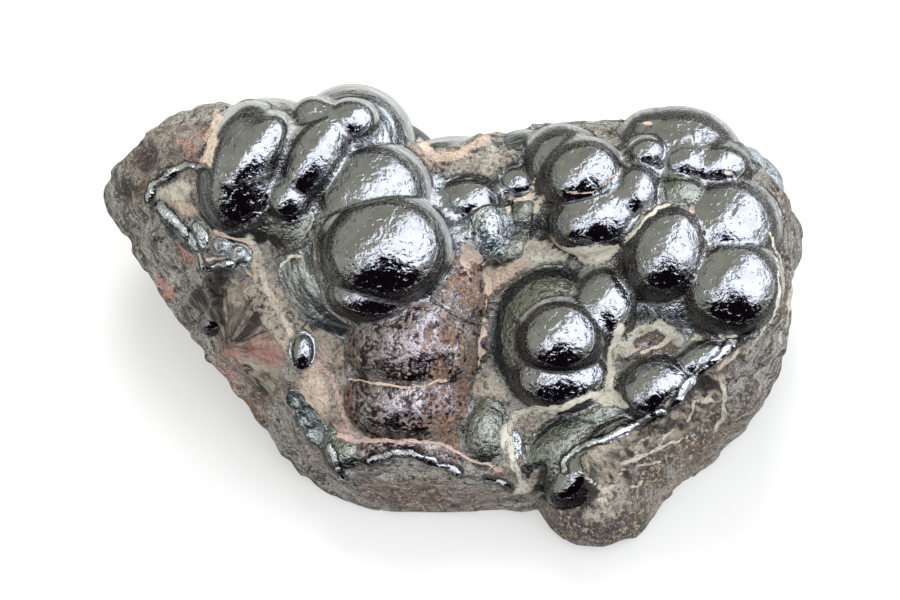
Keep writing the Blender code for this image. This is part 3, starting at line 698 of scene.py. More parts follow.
# Each finish is a ground with coats over it, and later ones lay the earlier ones over each other. Whole ore
# is cold steel grey, with a ragged dark ring of painted shade low on each dome, a painted reflection as a
# pale rim where it turns away, and painted shade in the grooves between domes; satin skin shows its growth
# layers, light on dark. Broken ore has layers and fibres in grey and brown, with veins of tan clay and rusty,
# pink and black places. Fresh edges have a painted highlight with painted shade beside it. Clay goes from tan
# to peach to pink.
FINISHES = {
    "steel": ("#8F9298", Coat("wrinkle", "#84858B", step=(0.35, 0.65))),
    # Painted shade for the dark ring low on each dome, with pale crumbs in it.
    "painted_shade_ring": ("#2B2422", Coat("crumb", "#8B8884", step=(0.5, 0.64))),
    "growth_layers": (
        "#363B3F",
        Coat("layers", "#B0B6B8", step=(0.44, 0.64)),
        Coat("crumb", "#C4C8CA", 0.7, (0.54, 0.64)),
    ),
    "specked": (
        "#7F827B",
        Coat("ring", "#3F4347"),
        Coat("speck", "#34332F", 0.7, (0.5, 0.62)),
        Coat("crumb", "#9BA1A3", 0.5, (0.56, 0.64)),
    ),
    "crinkled": ("#3A4545", Coat("crinkle", "#B9C0C6", step=(0.38, 0.54))),
    "maroon": ("#352A2B", Coat("grit", "#928D92", step=(0.42, 0.56))),
    "ochre_dust": (
        "#666050",
        Coat("broad", "#876650", step=(0.4, 0.6)),
        Coat("crumb", "#33282A", step=(0.42, 0.58)),
        Coat("speck", "#A78D7C", 0.7, (0.58, 0.66)),
    ),
    # A painted reflection: the pale rim where a dome turns away.
    "painted_rim_reflection": ("#969896", Coat("layers", "#B9BBB9", step=(0.42, 0.6))),
    "whole_ore": (
        "steel",
        Coat("ring", "painted_shade_ring", 0.9),
        Coat("satin", "growth_layers"),
        Coat("slate", "specked"),
        Coat("grainy", "crinkled"),
        Coat("dusty", "maroon"),
        # Painted shade in the grooves between domes.
        Coat("groove_shade", "#262220"),
        Coat("dust", "ochre_dust"),
        Coat("pale_reflection", "painted_rim_reflection"),
    ),
    "banded_ore": (
        "#4F4743",
        Coat("layers", "#A29E96", step=(0.38, 0.62)),
        Coat("blotch", "#A9AAA2", step=(0.50, 0.66)),
        Coat("smut", "#352D2A", step=(0.52, 0.62)),
        Coat("broad", "#7B6C5E", 0.5, (0.5, 0.62)),
    ),
    "fibrous_ore": (
        "#3A302D",
        Coat("wedges", "#8A8173", step=(0.42, 0.58)),
        Coat("fibres", "#A89F90", 0.8, (0.48, 0.60)),
        Coat("fibres", "#231D1C", step=(0.48, 0.36)),
        Coat("blotch", "#4E4640", 0.7, (0.54, 0.64)),
        Coat("pink_fibres", "#B28078", 0.7),
    ),
    "rust": (
        "#41342F",
        Coat("stain_hue", "#80604C", step=(0.0, 0.5)),
        Coat("stain_hue", "#B28078", step=(0.5, 1.0)),
    ),
    "broken_ore": (
        "banded_ore",
        Coat("mottled_stain", "rust"),
        Coat("speck", "#A5A197", 0.75, (0.52, 0.64)),
        Coat("crumb", "#1F1D1C", 0.85, (0.53, 0.62)),
        Coat("open_cracks", "#24211F", 0.6),
        Coat("tan_veins", "#AC9A7C"),
        Coat("in_fan", "fibrous_ore"),
        Coat("blackened", "#171416"),
    ),
    "crumbly_clay": (
        "#C8C3B4",
        Coat("clay_tint", "#C9B2A0", step=(0.1, 0.6)),
        Coat("clay_tint", "#BA9C95", step=(0.65, 0.95)),
        Coat("blotch", "#9D9A90", 0.6, (0.52, 0.66)),
        Coat("speck", "#756A60", 0.55, (0.52, 0.66)),
        Coat("crumb", "#D8D3C6", 0.6, (0.56, 0.66)),
    ),
    "ore": (
        "whole_ore",
        Coat("in_rock", "broken_ore"),
        Coat("in_clay", "crumbly_clay"),
        Coat("ochre_spots", "#A87A34"),
        # Painted shade beside the fresh edges, and a painted highlight on them.
        Coat("shade_under_edge", "#1D1B1D", 0.8),
        Coat("glint", "#B8BBC0"),
    ),
}

# Roughness, from 0 for a perfect mirror to 1 for chalk.
POLISHED = 0.08
DULLER_SKIN = (Coat("ring", 0.30, 0.8), Coat("satin", 0.33), Coat("matt_shell", 0.24), Coat("groove_shade", 0.65))
UNEVEN_SKIN = Field({"skin": 1.0, "crumb": 0.12}, -0.06)
MATT = 0.78
SHEEN = 0.38

# The room as the domes mirror it. Places in it are given by the slope of a dome where it shows, right and up,
# or by the ray itself, level and back, all from -1 to 1.
ROOM_FIELDS = {
    "off_middle": Field({"right": 1.0}, -0.05, unsigned=True),
    "outline": Field({"off_middle": -0.62}, -0.07, most=(-0.42,)),
    "shape": Field({"up": 1.0, "outline": -1.0}, step=(0.03, -0.05)),
    "left_of_frame": Field({"right": 1.0}, step=(0.86, 0.74)),
    "over_sill": Field({"level": 1.0}, step=(0.10, 0.20)),
    "window": Field({"right": 1.0, "up": -0.87}, step=(-0.21, -0.15), times=("left_of_frame", "over_sill")),
    "behind": Field({"back": 1.0}, step=(-0.2, 0.2)),
    "horizon": Field({"level": 1.0}, step=(0.24, 0.12), times=("behind",)),
    "behind_card": Field({"back": 1.0}, step=(-0.45, 0.05)),
    "sweep": Field({"level": 1.0}, step=(0.02, -0.06), times=("behind_card",)),
}
WINDOW = (3.75, 3.85, 4.05, 1.0)
ROOM = (0.82, 0.81, 0.64, 1.0)
DARK = (0.014, 0.007, 0.014, 1.0)
HORIZON = (0.05, 0.04, 0.04, 1.0)
SWEEP = (0.95, 0.96, 0.94, 1.0)
BACKDROP = (1.0, 1.0, 0.99, 1.0)
FILL = (1.25, 1.25, 1.25, 1.0)
ROOM_COATS = (
    Coat("window", WINDOW),
    Coat("horizon", HORIZON),
    Coat("shape", DARK),
    Coat("sweep", SWEEP),
    Coat("lighting", FILL, 0.6),
    Coat("seen", BACKDROP),
)

# The card and the lamp, in metres and watts.
CARD_SIDE = 1.8
CARD_GLOW = 0.42
LAMP_PLACE = (-0.02, 0.62, 0.62)
LAMP_SIZE = 0.45
LAMP_WATTS = 8.0


def smooth(low, high, value):
    """0 below low, 1 above high, and an S-shaped rise between."""
    t = np.clip((value - low) / (high - low), 0.0, 1.0)
    return t * t * (3.0 - 2.0 * t)


def direction(bearing, slope):
    """The unit normal of a break, in the face frame."""
    flat = cos(radians(slope))
    return np.array((flat * cos(radians(bearing)), flat * sin(radians(bearing)), sin(radians(slope))))


def joined(one, other, fillet):
    """The nearer of two signed distances, rounded over the fillet where they are close: a soft union.

    Each is a pair of distance and slope. h is the first one's share: 1/2 + (b - a) / 2k, held within 0 and 1,
    and the distance is the mix of both less k h (1 - h).
    """
    (a, slope_a), (b, slope_b) = one, other
    h = np.clip(0.5 + 0.5 * (b - a) / fillet, 0.0, 1.0)
    return a * h + b * (1.0 - h) - fillet * h * (1.0 - h), slope_a * h[:, None] + slope_b * (1.0 - h)[:, None]


def within_both(one, other, fillet):
    """The farther of two signed distances, rounded where they are close: a soft overlap."""
    low, slope = joined((-one[0], -one[1]), (-other[0], -other[1]), fillet)
    return -low, -slope


def plane_distance(points, cut):
    """Signed distance past a flat break, and its slope."""
    normal = direction(cut.bearing, cut.slope)
    return (points - (cut.across, cut.up, cut.out)) @ normal, np.broadcast_to(normal, points.shape)


def block_distance(points, breaks):
    """Distance outside a block: the farthest past any of its breaks, with worn edges."""
    block = plane_distance(points, breaks[0])
    for cut in breaks[1:]:
        block = within_both(block, plane_distance(points, cut), BREAK_WEAR)
    return block


def dome_distance(points, dome):
    """Distance outside an ellipsoid: k0 (k0 - 1) / k1, with k0 the length of the point over the half sizes
    and k1 its length over their squares."""
    turn = radians(dome.turn)
    axes = np.array(((cos(turn), sin(turn), 0.0), (-sin(turn), cos(turn), 0.0), (0.0, 0.0, 1.0)))
    sizes = np.array((dome.wide, dome.tall, dome.deep))
    local = (points - (dome.across, dome.up, dome.crest - dome.deep)) @ axes.T
    k0 = np.linalg.norm(local / sizes, axis=1)
    steep = local / sizes**2
    k1 = np.maximum(np.linalg.norm(steep, axis=1), 1e-6)
    return k0 * (k0 - 1.0) / k1, (steep / k1[:, None]) @ axes


def height_over_base(points):
    """Each point's height over the flat base, in drawn millimetres."""
    return points @ FACE_AXES[:, 2] + FACE_PLACE[2]


def slice_distance(points, cut):
    """Distance inside a late break's slab: past its plane and within its width."""
    outward = direction(cut.bearing, cut.slope)
    sideways = np.array((-sin(radians(cut.bearing)), cos(radians(cut.bearing)), 0.0))
    off = points - (cut.across, cut.up, cut.out)
    past = off @ outward, np.broadcast_to(outward, points.shape)
    reach = off @ sideways
    beside = cut.width / 2 - np.abs(reach), -np.sign(reach)[:, None] * sideways
    return joined(past, beside, SLICE_FILLET)


def stone(points):
    """Signed distance to the whole stone and its slope, at points of the face frame.

    The two blocks and the broken domes are joined, the late breaks are taken off, the whole domes are added,
    the pits are taken out and all is cut off level at the base.
    """
    body = joined(block_distance(points, LEFT_BLOCK), block_distance(points, RIGHT_BLOCK), JOIN_FILLET)
    for dome in BROKEN_DOMES:
        body = joined(body, dome_distance(points, dome), dome.fillet)
    for cut in LATE_BREAKS:
        past, slope = slice_distance(points, cut)
        body = within_both(body, (past, slope), BREAK_WEAR)
    for dome in WHOLE_DOMES:
        body = joined(body, dome_distance(points, dome), dome.fillet)
    for pit in PITS:
        hollow, slope = dome_distance(points, pit)
        body = within_both(body, (-hollow, -slope), PIT_FILLET)
    below = -height_over_base(points), np.broadcast_to(-FACE_AXES[:, 2], points.shape)
    return within_both(body, below, BASE_WEAR)


def grain(points, size, octaves=1, shift=0.0):
    """Smooth noise from -1 to 1: random values on a cubic lattice of that size, mixed between its corners."""
    total = np.zeros(len(points))
    weight = 1.0
    for octave in range(octaves):
        scaled = points * (2.0**octave / size) + shift + OCTAVE_SHIFT * octave
        cell = np.floor(scaled).astype(int)
        t = scaled - cell
        t = t * t * t * (t * (t * 6.0 - 15.0) + 10.0)
        for corner in np.ndindex(2, 2, 2):
            share = np.prod(np.where(corner, t, 1.0 - t), axis=1)
            at = (cell + corner) % CELLS
            total += weight * share * (2.0 * LATTICE[at[:, 0], at[:, 1], at[:, 2]] - 1.0)
        weight *= 0.5
    return total / (2.0 - 2.0 ** (1 - octaves))


def chips(points, size):
    """Broken facets: each cell of a jittered lattice tips its own way, and near a border they are mixed."""
    scaled = points / size
    cell = np.floor(scaled).astype(int)
    total = np.zeros(len(points))
    shares = np.full(len(points), 1e-9)
    for corner in np.ndindex(3, 3, 3):
        near = cell + corner - 1
        at = near % CELLS
        lot = CHIP_LATTICE[at[:, 0], at[:, 1], at[:, 2]]
        off = scaled - near - lot[:, :3]
        share = np.exp(-FACET_SHARPNESS * (off**2).sum(axis=1))
        total += share * ((lot[:, 3] - 0.5) + (off * (lot[:, 4:] - 0.5)).sum(axis=1) * 2.0)
        shares += share
    return total / shares


class Wrap:
    """Six square grids of steps by steps, joined along their borders like a cube."""

    def __init__(self, steps):
        """A grid point is a direction: the two parameters run from -1 to 1, and the tangent of 45 degrees
        times each spreads the points evenly over a ball."""
        along = np.tan(np.linspace(-1.0, 1.0, steps + 1) * np.pi / 4)
        u, v = np.meshgrid(along, along, indexing="ij")
        one = np.ones_like(u)
        sides = []
        for axis in range(3):
            for sign in (1.0, -1.0):
                parts = [None, None, None]
                parts[axis] = one * sign
                parts[(axis + 1) % 3] = u * sign
                parts[(axis + 2) % 3] = v
                sides.append(np.stack(parts, axis=-1))
        rays = np.stack(sides)
        rays /= np.linalg.norm(rays, axis=-1, keepdims=True)
        keys = np.round(rays.reshape(-1, 3) * 1e6).astype(int)
        _, first, index = np.unique(keys, axis=0, return_index=True, return_inverse=True)
        self.steps = steps
        self.index = index.reshape(6, steps + 1, steps + 1)
        self.rays = rays.reshape(-1, 3)[first]
        corners = (
            self.index[:, :-1, :-1],
            self.index[:, 1:, :-1],
            self.index[:, 1:, 1:],
            self.index[:, :-1, 1:],
        )
        self.quads = np.stack(corners, axis=-1).reshape(-1, 4)
        ends = np.concatenate([self.quads[:, pair] for pair in ([0, 1], [1, 2], [2, 3], [3, 0])])
        self.ends = np.unique(np.sort(ends, axis=1), axis=0)
        self.links = np.bincount(self.ends.ravel(), minlength=len(self.rays))

    def mean_of_neighbours(self, points):
        """Each point's linked neighbours, averaged."""
        a, b = self.ends.T
        total = np.empty_like(points)
        for k in range(points.shape[1]):
            total[:, k] = np.bincount(a, points[b, k], len(points))
            total[:, k] += np.bincount(b, points[a, k], len(points))
        return total / self.links[:, None]

    def finer(self, points):
        """The points of a wrap with twice the steps: each side's grid with the middles of its squares and
        edges filled in."""
        grids = points[self.index]
        twice = 2 * self.steps + 1
        full = np.empty((6, twice, twice, 3))
        full[:, ::2, ::2] = grids
        full[:, 1::2, ::2] = (grids[:, 1:] + grids[:, :-1]) / 2
        full[:, :, 1::2] = (full[:, :, 2::2] + full[:, :, :-2:2]) / 2
        wrap = Wrap(2 * self.steps)
        fine = np.empty((len(wrap.rays), 3))
        fine[wrap.index.ravel()] = full.reshape(-1, 3)
        return wrap, fine


def drawn_in(points, times=1):
    """Moves points along the slope, by the distance that is left, onto the stone."""
    for _ in range(times):
        distance, slope = stone(points)
        points = points - np.clip(distance, -LONGEST_MOVE, LONGEST_MOVE)[:, None] * slope
    return points


def wrapped_stone():
    """A wrap whose points lie evenly on the stone: it starts as a large ellipsoid, and each round halves the
    grid's squares, evens out the spacing and draws the points in."""
    rounds = ROUNDS
    wrap = Wrap(rounds[0][0])
    points = wrap.rays * START_SIZES + START_MIDDLE
    for steps, eases in rounds:
        if steps != wrap.steps:
            wrap, points = wrap.finer(points)
        for _ in range(eases):
            points = points + EASE * (wrap.mean_of_neighbours(points) - points)
            points = drawn_in(points)
        points = drawn_in(points, 2)
    return wrap, points


def shown(points):
    """Where points show in the picture, on the plane through the floor of the face: nearer ones spread out
    from where the camera aims, by distance / (distance - out)."""
    spread = (CAMERA_DISTANCE / (CAMERA_DISTANCE - points[:, 2]))[:, None]
    aim = np.array((AIM_ACROSS, AIM_UP))
    return aim + (points[:, :2] - aim) * spread


def line_distance(flat, places):
    """Distance from each flat point to a line through the places."""
    best = np.full(len(flat), FAR_OFF)
    for start, end in zip(places[:-1], places[1:]):
        start, along = np.array(start), np.subtract(end, start)
        part = np.clip(((flat - start) @ along) / (along @ along), 0.0, 1.0)
        best = np.minimum(best, np.linalg.norm(flat - start - part[:, None] * along, axis=1))
    return best


def oval(flat, patch):
    """1 at the patch's middle, a half on its outline and 0 at twice its size, times its strength."""
    turn = radians(patch.turn)
    off = flat - (patch.across, patch.up)
    x = off[:, 0] * cos(turn) + off[:, 1] * sin(turn)
    y = off[:, 1] * cos(turn) - off[:, 0] * sin(turn)
    return patch.strength * np.clip(1.0 - 0.5 * np.hypot(x / patch.wide, y / patch.tall), 0.0, 1.0)


def enclosed(flat, outline):
    """True for flat points inside an outline: a level line from the point crosses it an odd number of
    times."""
    inside = np.zeros(len(flat), bool)
    for (x1, y1), (x2, y2) in zip(outline, outline[1:] + outline[:1]):
        spans = (flat[:, 1] < y1) != (flat[:, 1] < y2)
        crossing = x1 + (flat[:, 1] - y1) * (x2 - x1) / ((y2 - y1) or 1e-9)
        inside ^= spans & (flat[:, 0] < crossing)
    return inside


def forms_near(points):
    """Each point's nearest dome, its distance to it, and the gap to the next nearest form."""
    nearest = np.full(len(points), FAR_OFF)
    second = np.full(len(points), FAR_OFF)
    owner = np.zeros(len(points), int)
    for number, dome in enumerate(BROKEN_DOMES + WHOLE_DOMES):
        distance = dome_distance(points, dome)[0]
        closer = distance < nearest
        second = np.where(closer, nearest, np.minimum(second, distance))
        owner = np.where(closer, number, owner)
        nearest = np.minimum(nearest, distance)
    rock = np.minimum(block_distance(points, LEFT_BLOCK)[0], block_distance(points, RIGHT_BLOCK)[0])
    return nearest, owner, np.minimum(second, rock) - nearest


def strongest(marks, count):
    """The largest of the marks' shares at each point, and the hue of the mark that it comes from."""
    best = np.zeros(count)
    hue = np.full(count, MIDDLE_HUE)
    for share, own_hue in marks:
        hue = np.where(share > best, own_hue, hue)
        best = np.maximum(best, share)
    return best, hue


def seam_share(flat, seam, uneven):
    """1 on the seam's line, falling evenly to 0 at its width, which swells and shrinks along it."""
    return np.clip(1.0 - line_distance(flat, seam.places) / (seam.width * uneven), 0.0, 1.0)


def make_masks(points, slope):
    """The masks that the material and the relief read, each from 0 to 1."""
    count = len(points)
    domes = BROKEN_DOMES + WHOLE_DOMES
    nearest, owner, gap = forms_near(points)
    finish = np.array([dome.finish for dome in domes])[owner]
    left = points[:, 0] < LEFT_HALF
    facing = smooth(*FACING, slope[:, 2])
    front = smooth(*FRONT, slope[:, 2])
    tilt = np.sqrt(np.clip(1.0 - slope[:, 2] ** 2, 0.0, 1.0))
    stray = np.column_stack((grain(points, STRAY_SIZE, 3), grain(points, STRAY_SIZE, 3, 11.0)))
    flat = shown(points) + STRAY * stray
    bare = np.any([enclosed(flat, outline) for outline in BARE_PARTS], axis=0)
    on_dome = (1.0 - smooth(*SKIN_OUTSIDE, nearest)) * smooth(*SKIN_INSIDE, nearest) * (1.0 - bare)
    beads = on_dome * np.array([dome in EDGE_BEADS and dome.finish != ROCK for dome in domes])[owner]

    uneven = 1.0 + SEAM_SWELL * grain(points, SEAM_SWELL_SIZE, 2, 5.0)
    marks = [(seam_share(flat, seam, uneven), seam.hue) for seam in SEAMS]
    marks += [(oval(flat, patch), patch.hue) for patch in CLAY_PATCHES]
    clay, clay_hue = strongest(marks, count)
    floor = (1.0 - on_dome) * smooth(*FLOOR_DEPTH, points[:, 2]) * smooth(*FLOOR_FACING, slope[:, 2])
    clay = np.maximum(clay, FLOOR_CLAY * floor) * facing * (1.0 - beads)
    stain, stain_hue = strongest([(oval(flat, patch), patch.hue) for patch in STAINS], count)
    black = np.max([oval(flat, patch) for patch in BLACK_PATCHES], axis=0)
    ridges = [np.exp(-((line_distance(flat, ridge.places) / ridge.width) ** 2)) for ridge in RIDGES]
    lifts = [ridge.height * share for ridge, share in zip(RIDGES, ridges)]

    satin_rim = smooth(*RIM_TILT, tilt) * np.where(left, RIM_LEFT, RIM_RIGHT)
    satin = on_dome * ((finish == SATIN) * SATIN_SHARE + (finish == BRIGHT) * satin_rim)
    # A painted reflection: a pale rim on the upper side of each steep flank.
    rim_reflection = smooth(*REFLECTION_TILT, tilt) * smooth(*REFLECTION_UP, slope[:, 1] + REFLECTION_LEAN * slope[:, 0])
    rim_reflection *= smooth(*REFLECTION_FRONT, slope[:, 2]) * np.where(left, 1.0, REFLECTION_RIGHT)
    # The painted shade ring is weaker where the flank faces back.
    ring = SKIRT_BACK + (1.0 - SKIRT_BACK) * smooth(*SKIRT_FRONT, slope[:, 2])
    return {
        "clay": clay,
        "clay_hue": clay_hue,
        # Painted shade in the grooves between forms.
        "groove": on_dome * np.exp(-np.maximum(gap, 0.0) / GROOVE_WIDTH) * (1.0 - BEAD_GROOVES_LIGHTER * beads),
        "slate": on_dome * np.maximum(finish == SLATE, (finish < DUSTY) * (1.0 - front)),
        "dusty": on_dome * (finish == DUSTY),
        "ochre": smooth(*OCHRE_RIGHT, points[:, 0]) + OCHRE_LEFT_SHARE * smooth(*OCHRE_LEFT, points[:, 0]),
        "grainy": on_dome * (finish == GRAINY),
        "satin": np.clip(satin, 0.0, 1.0) * front,
        "skirt_shade": on_dome * smooth(*SKIRT_TILT, tilt) * (finish != ROCK) * ring,
        "rim_reflection": on_dome * rim_reflection * np.isin(finish, (BRIGHT, SATIN)),
        "worn": on_dome * (finish == ROCK),
        "rock": np.clip(1.0 - on_dome + on_dome * (finish == ROCK), 0.0, 1.0),
        "stain": stain * facing,
        "stain_hue": stain_hue,
        "black": black * facing,
        "ridge": np.max(ridges, axis=0) * facing,
        "lift": np.max(lifts, axis=0) * facing,
    }


def fan_places(points):
    """How much a point lies in a fan of fibres, and its place there: across the fibres, as millimetres of arc
    at the fan's reach from its point, and along them, as a part of that reach."""
    share = np.zeros(len(points))
    place = np.zeros((len(points), 3))
    for number, fan in enumerate(FANS):
        off = points - (fan.across, fan.up, fan.out)
        reach = np.maximum(np.linalg.norm(off, axis=1), FAN_POINT)
        here = 1.0 - smooth(*FAN_BORDER, np.hypot(off[:, 0] / fan.wide, off[:, 1] / fan.tall))
        here *= smooth(*FAN_SIDE, off @ direction(fan.bearing, 0.0))
        arc = FAN_REACH * np.arctan2(off[:, 1], off[:, 0])
        tilt = FAN_REACH * np.arcsin(np.clip(off[:, 2] / reach, -1.0, 1.0))
        mine = np.column_stack((arc + FANS_APART * number, tilt, reach / FAN_REACH))
        place = np.where((here > share)[:, None], mine, place)
        share = np.maximum(share, here)
    return share, place


def weathered(points, slope, masks, place):
    """Moves each point in or out by the relief of its own surface, and leaves the base flat.

    Whole ore is softly uneven. Broken ore has facets of two sizes, layers, and the ribs of the fans, which
    are waves across the fibres. Clay is lumpy, and the fresh edges stand up as low ridges.
    """
    fan_share = masks["fan_share"]
    surfaces = masks | {"whole": 1.0 - masks["rock"]}
    relief = masks["satin"] * RING_HEIGHT * grain(points / RING_SIZES, 1.0, 2)
    for form in RELIEFS:
        relief += surfaces[form.surface] * form.height * grain(points, form.size, form.octaves)
    chipped = LAYER_HEIGHT * grain(points / LAYER_SIZES, 1.0, 3)
    for height, size, shift in FACETS:
        chipped += height * chips(points + shift, size)
    waves = np.sin(place[:, 0] * RIB_TURN + RIB_STRAY * grain(points, RIB_STRAY_SIZE))
    ribs = RIB_HEIGHT * waves + FIBRE_HEIGHT * grain(place, FIBRE_SIZE, 2)
    chipped *= (1.0 - FAN_CHIPS_LOST * fan_share) * (1.0 - WORN_CHIPS_LOST * masks["worn"])
    relief += masks["rock"] * (ROCK_LIFT + chipped + ribs * fan_share)
    relief += smooth(*CLAY_BODY, masks["clay"]) * CLAY_HEIGHT * grain(points, CLAY_SIZE, 3)
    relief += masks["lift"] * (1.0 + RIDGE_UNEVEN * grain(points, RIDGE_UNEVEN_SIZE, 2))
    return points + slope * (relief * smooth(*BASE_FLAT, height_over_base(points)))[:, None]


def to_world(points):
    """Drawn millimetres in the face frame, as metres in the world."""
    return (points @ FACE_AXES + FACE_PLACE) * SCALE


def mesh_object(name, wrap, points, masks, place):
    """The wrapped points as one closed mesh with its masks and its places in the fans of fibres."""
    world = to_world(points)
    world[:, 2] = np.maximum(world[:, 2], 0.0)
    mesh = bpy.data.meshes.new(name)
    mesh.vertices.add(len(world))
    mesh.vertices.foreach_set("co", world.astype(np.float32).ravel())
    mesh.loops.add(wrap.quads.size)
    mesh.loops.foreach_set("vertex_index", wrap.quads.astype(np.int32).ravel())
    mesh.polygons.add(len(wrap.quads))
    mesh.polygons.foreach_set("loop_start", np.arange(0, wrap.quads.size, 4, dtype=np.int32))
    mesh.update(calc_edges=True)
    mesh.shade_smooth()
    for label in MASKS:
        layer = mesh.attributes.new(label, "FLOAT", "POINT")
        layer.data.foreach_set("value", masks[label].astype(np.float32))
    layer = mesh.attributes.new("fan", "FLOAT_VECTOR", "POINT")
    layer.data.foreach_set("vector", place.astype(np.float32).ravel())
    made = bpy.data.objects.new(name, mesh)
    bpy.context.scene.collection.objects.link(made)
    return made


def linear(code):
    """An sRGB hex colour as linear red, green, blue and full alpha."""
    parts = [int(code[k : k + 2], 16) / 255.0 for k in (1, 3, 5)]
    return tuple(p / 12.92 if p <= 0.04045 else ((p + 0.055) / 1.055) ** 2.4 for p in parts) + (1.0,)


def add_node(tree, kind, inputs=None, **settings):
    """Adds a node with its settings. Inputs, by name or number, are plain values or other nodes' outputs."""
    node = tree.nodes.new(kind)
    for name, value in settings.items():
        setattr(node, name, value)
    for slot, value in (inputs or {}).items():
        if isinstance(value, bpy.types.NodeSocket):
            tree.links.new(value, node.inputs[slot])
        else:
            node.inputs[slot].default_value = value
    return node


def worked_out(tree, fields, field):
    """A field from earlier ones: the weighted sum of its parts and the offset, without its sign where it is
    unsigned, then the largest of it and others, then its soft step, then the product with others."""
    value = field.offset
    for name, weight in field.parts.items():
        if value == 0.0 and weight == 1.0:
            value = fields[name]
        else:
            inputs = {0: fields[name], 1: weight, 2: value}
            value = add_node(tree, "ShaderNodeMath", inputs, operation="MULTIPLY_ADD").outputs[0]
    if field.unsigned:
        value = add_node(tree, "ShaderNodeMath", {0: value}, operation="ABSOLUTE").outputs[0]
    for other in field.most:
        inputs = {0: value, 1: fields.get(other, other)}
        value = add_node(tree, "ShaderNodeMath", inputs, operation="MAXIMUM").outputs[0]
    if field.step:
        inputs = {0: value, 1: field.step[0], 2: field.step[1]}
        value = add_node(tree, "ShaderNodeMapRange", inputs, interpolation_type="SMOOTHSTEP").outputs[0]
    for other in field.times:
        inputs = {0: value, 1: fields.get(other, other)}
        value = add_node(tree, "ShaderNodeMath", inputs, operation="MULTIPLY").outputs[0]
    return value


def paint_of(fields, paint):
    """A hex colour made linear, the field or finish of that name, or a plain value as it is."""
    if isinstance(paint, str) and paint.startswith("#"):
        return linear(paint)
    return fields.get(paint, paint)


def painted(tree, fields, ground, coats, sort=COLOURS):
    """A ground with coats over it. A coat's share is its field, through its soft step where it has one, times
    its strength."""
    kind, under, over, result = sort
    paint = paint_of(fields, ground)
    for coat in coats:
        strength = () if coat.strength == 1.0 else (coat.strength,)
        share = worked_out(tree, fields, Field({coat.field: 1.0}, step=coat.step, times=strength))
        inputs = {0: share, under: paint, over: paint_of(fields, coat.paint)}
        paint = add_node(tree, "ShaderNodeMix", inputs, data_type=kind).outputs[result]
    return paint


def ore_fields(tree):
    """Every pattern, mask and mixed field of the ore, by name."""
    fields = {}
    places = {
        "object": add_node(tree, "ShaderNodeTexCoord").outputs["Object"],
        "fan": add_node(tree, "ShaderNodeAttribute", attribute_name="fan").outputs["Vector"],
    }
    for name, place in PLACES.items():
        inputs = {"Vector": places[place.start], "Rotation": place.turn, "Scale": place.scale}
        places[name] = add_node(tree, "ShaderNodeMapping", inputs).outputs[0]
    for name, pattern in PATTERNS.items():
        inputs = {
            "Vector": places[pattern.place],
            "Scale": 1.0 / pattern.size,
            "Detail": pattern.detail,
            "Roughness": pattern.roughness,
            "Distortion": pattern.warp,
        }
        fields[name] = add_node(tree, "ShaderNodeTexNoise", inputs).outputs["Fac"]
    for name in MASKS:
        fields[name] = add_node(tree, "ShaderNodeAttribute", attribute_name=name).outputs["Fac"]
    for name, field in ORE_FIELDS.items():
        fields[name] = worked_out(tree, fields, field)
    return fields


def ore_roughness(tree, fields):
    """Polished skin with duller rings and shells, and matt earth with a sheen on its fibres."""
    fields["skin"] = painted(tree, fields, POLISHED, DULLER_SKIN, NUMBERS)
    fields["uneven_skin"] = worked_out(tree, fields, UNEVEN_SKIN)
    fields["matt_earth"] = painted(tree, fields, MATT, (Coat("sheen", SHEEN),), NUMBERS)
    return painted(tree, fields, "uneven_skin", (Coat("earth", "matt_earth"),), NUMBERS)


def hematite_material():
    """Hematite ore, grown in domes: steel-black and mirror bright where whole, dull and fibrous where broken.

    Polished hematite reflects about 27% of the light, cold grey. Its growth skin is wrinkled on the scale of
    a millimetre and less, which makes the borders of its reflections ragged. Its fine relief is added up in
    real millimetres, kind of surface by kind of surface.
    """
    material = bpy.data.materials.new("botryoidal_hematite_ore")
    material.use_nodes = True
    tree = material.node_tree
    shader = tree.nodes["Principled BSDF"]
    fields = ore_fields(tree)
    for name, (ground, *coats) in FINISHES.items():
        fields[name] = painted(tree, fields, ground, coats)
    tree.links.new(fields["ore"], shader.inputs["Base Color"])
    tree.links.new(fields["metal"], shader.inputs["Metallic"])
    tree.links.new(ore_roughness(tree, fields), shader.inputs["Roughness"])

    height = 0.0
    for surface, patterns in FINE_RELIEF:
        times = (surface,) if surface else ()
        part = worked_out(tree, fields, Field(patterns, times=times))
        height = add_node(tree, "ShaderNodeMath", {0: height, 1: part}, operation="ADD").outputs[0]
    bump = add_node(tree, "ShaderNodeBump", {"Height": height, "Strength": 1.0, "Distance": ONE_MM})
    tree.links.new(bump.outputs[0], shader.inputs["Normal"])
    return material


def card_material():
    """Matt white card, with a faint glow that keeps the shadow on it as light as in a bright studio."""
    material = bpy.data.materials.new("matt_white_card")
    material.use_nodes = True
    shader = material.node_tree.nodes["Principled BSDF"]
    shader.inputs["Base Color"].default_value = linear("#A2A2A1")
    shader.inputs["Emission Color"].default_value = linear("#FFFFFF")
    shader.inputs["Emission Strength"].default_value = CARD_GLOW
    shader.inputs["Roughness"].default_value = 0.9
    shader.inputs["Specular IOR Level"].default_value = 0.1
    return material


def make_floor():
    """A plain square card under the stone. Mirror surfaces show the room in its place."""
    half = CARD_SIDE / 2
    mesh = bpy.data.meshes.new("card")
    corners = [(-half, -half, 0), (half, -half, 0), (half, half, 0), (-half, half, 0)]
    mesh.from_pydata(corners, [], [(0, 1, 2, 3)])
    card = bpy.data.objects.new("card", mesh)
    bpy.context.scene.collection.objects.link(card)
    card.data.materials.append(card_material())
    card.visible_glossy = False


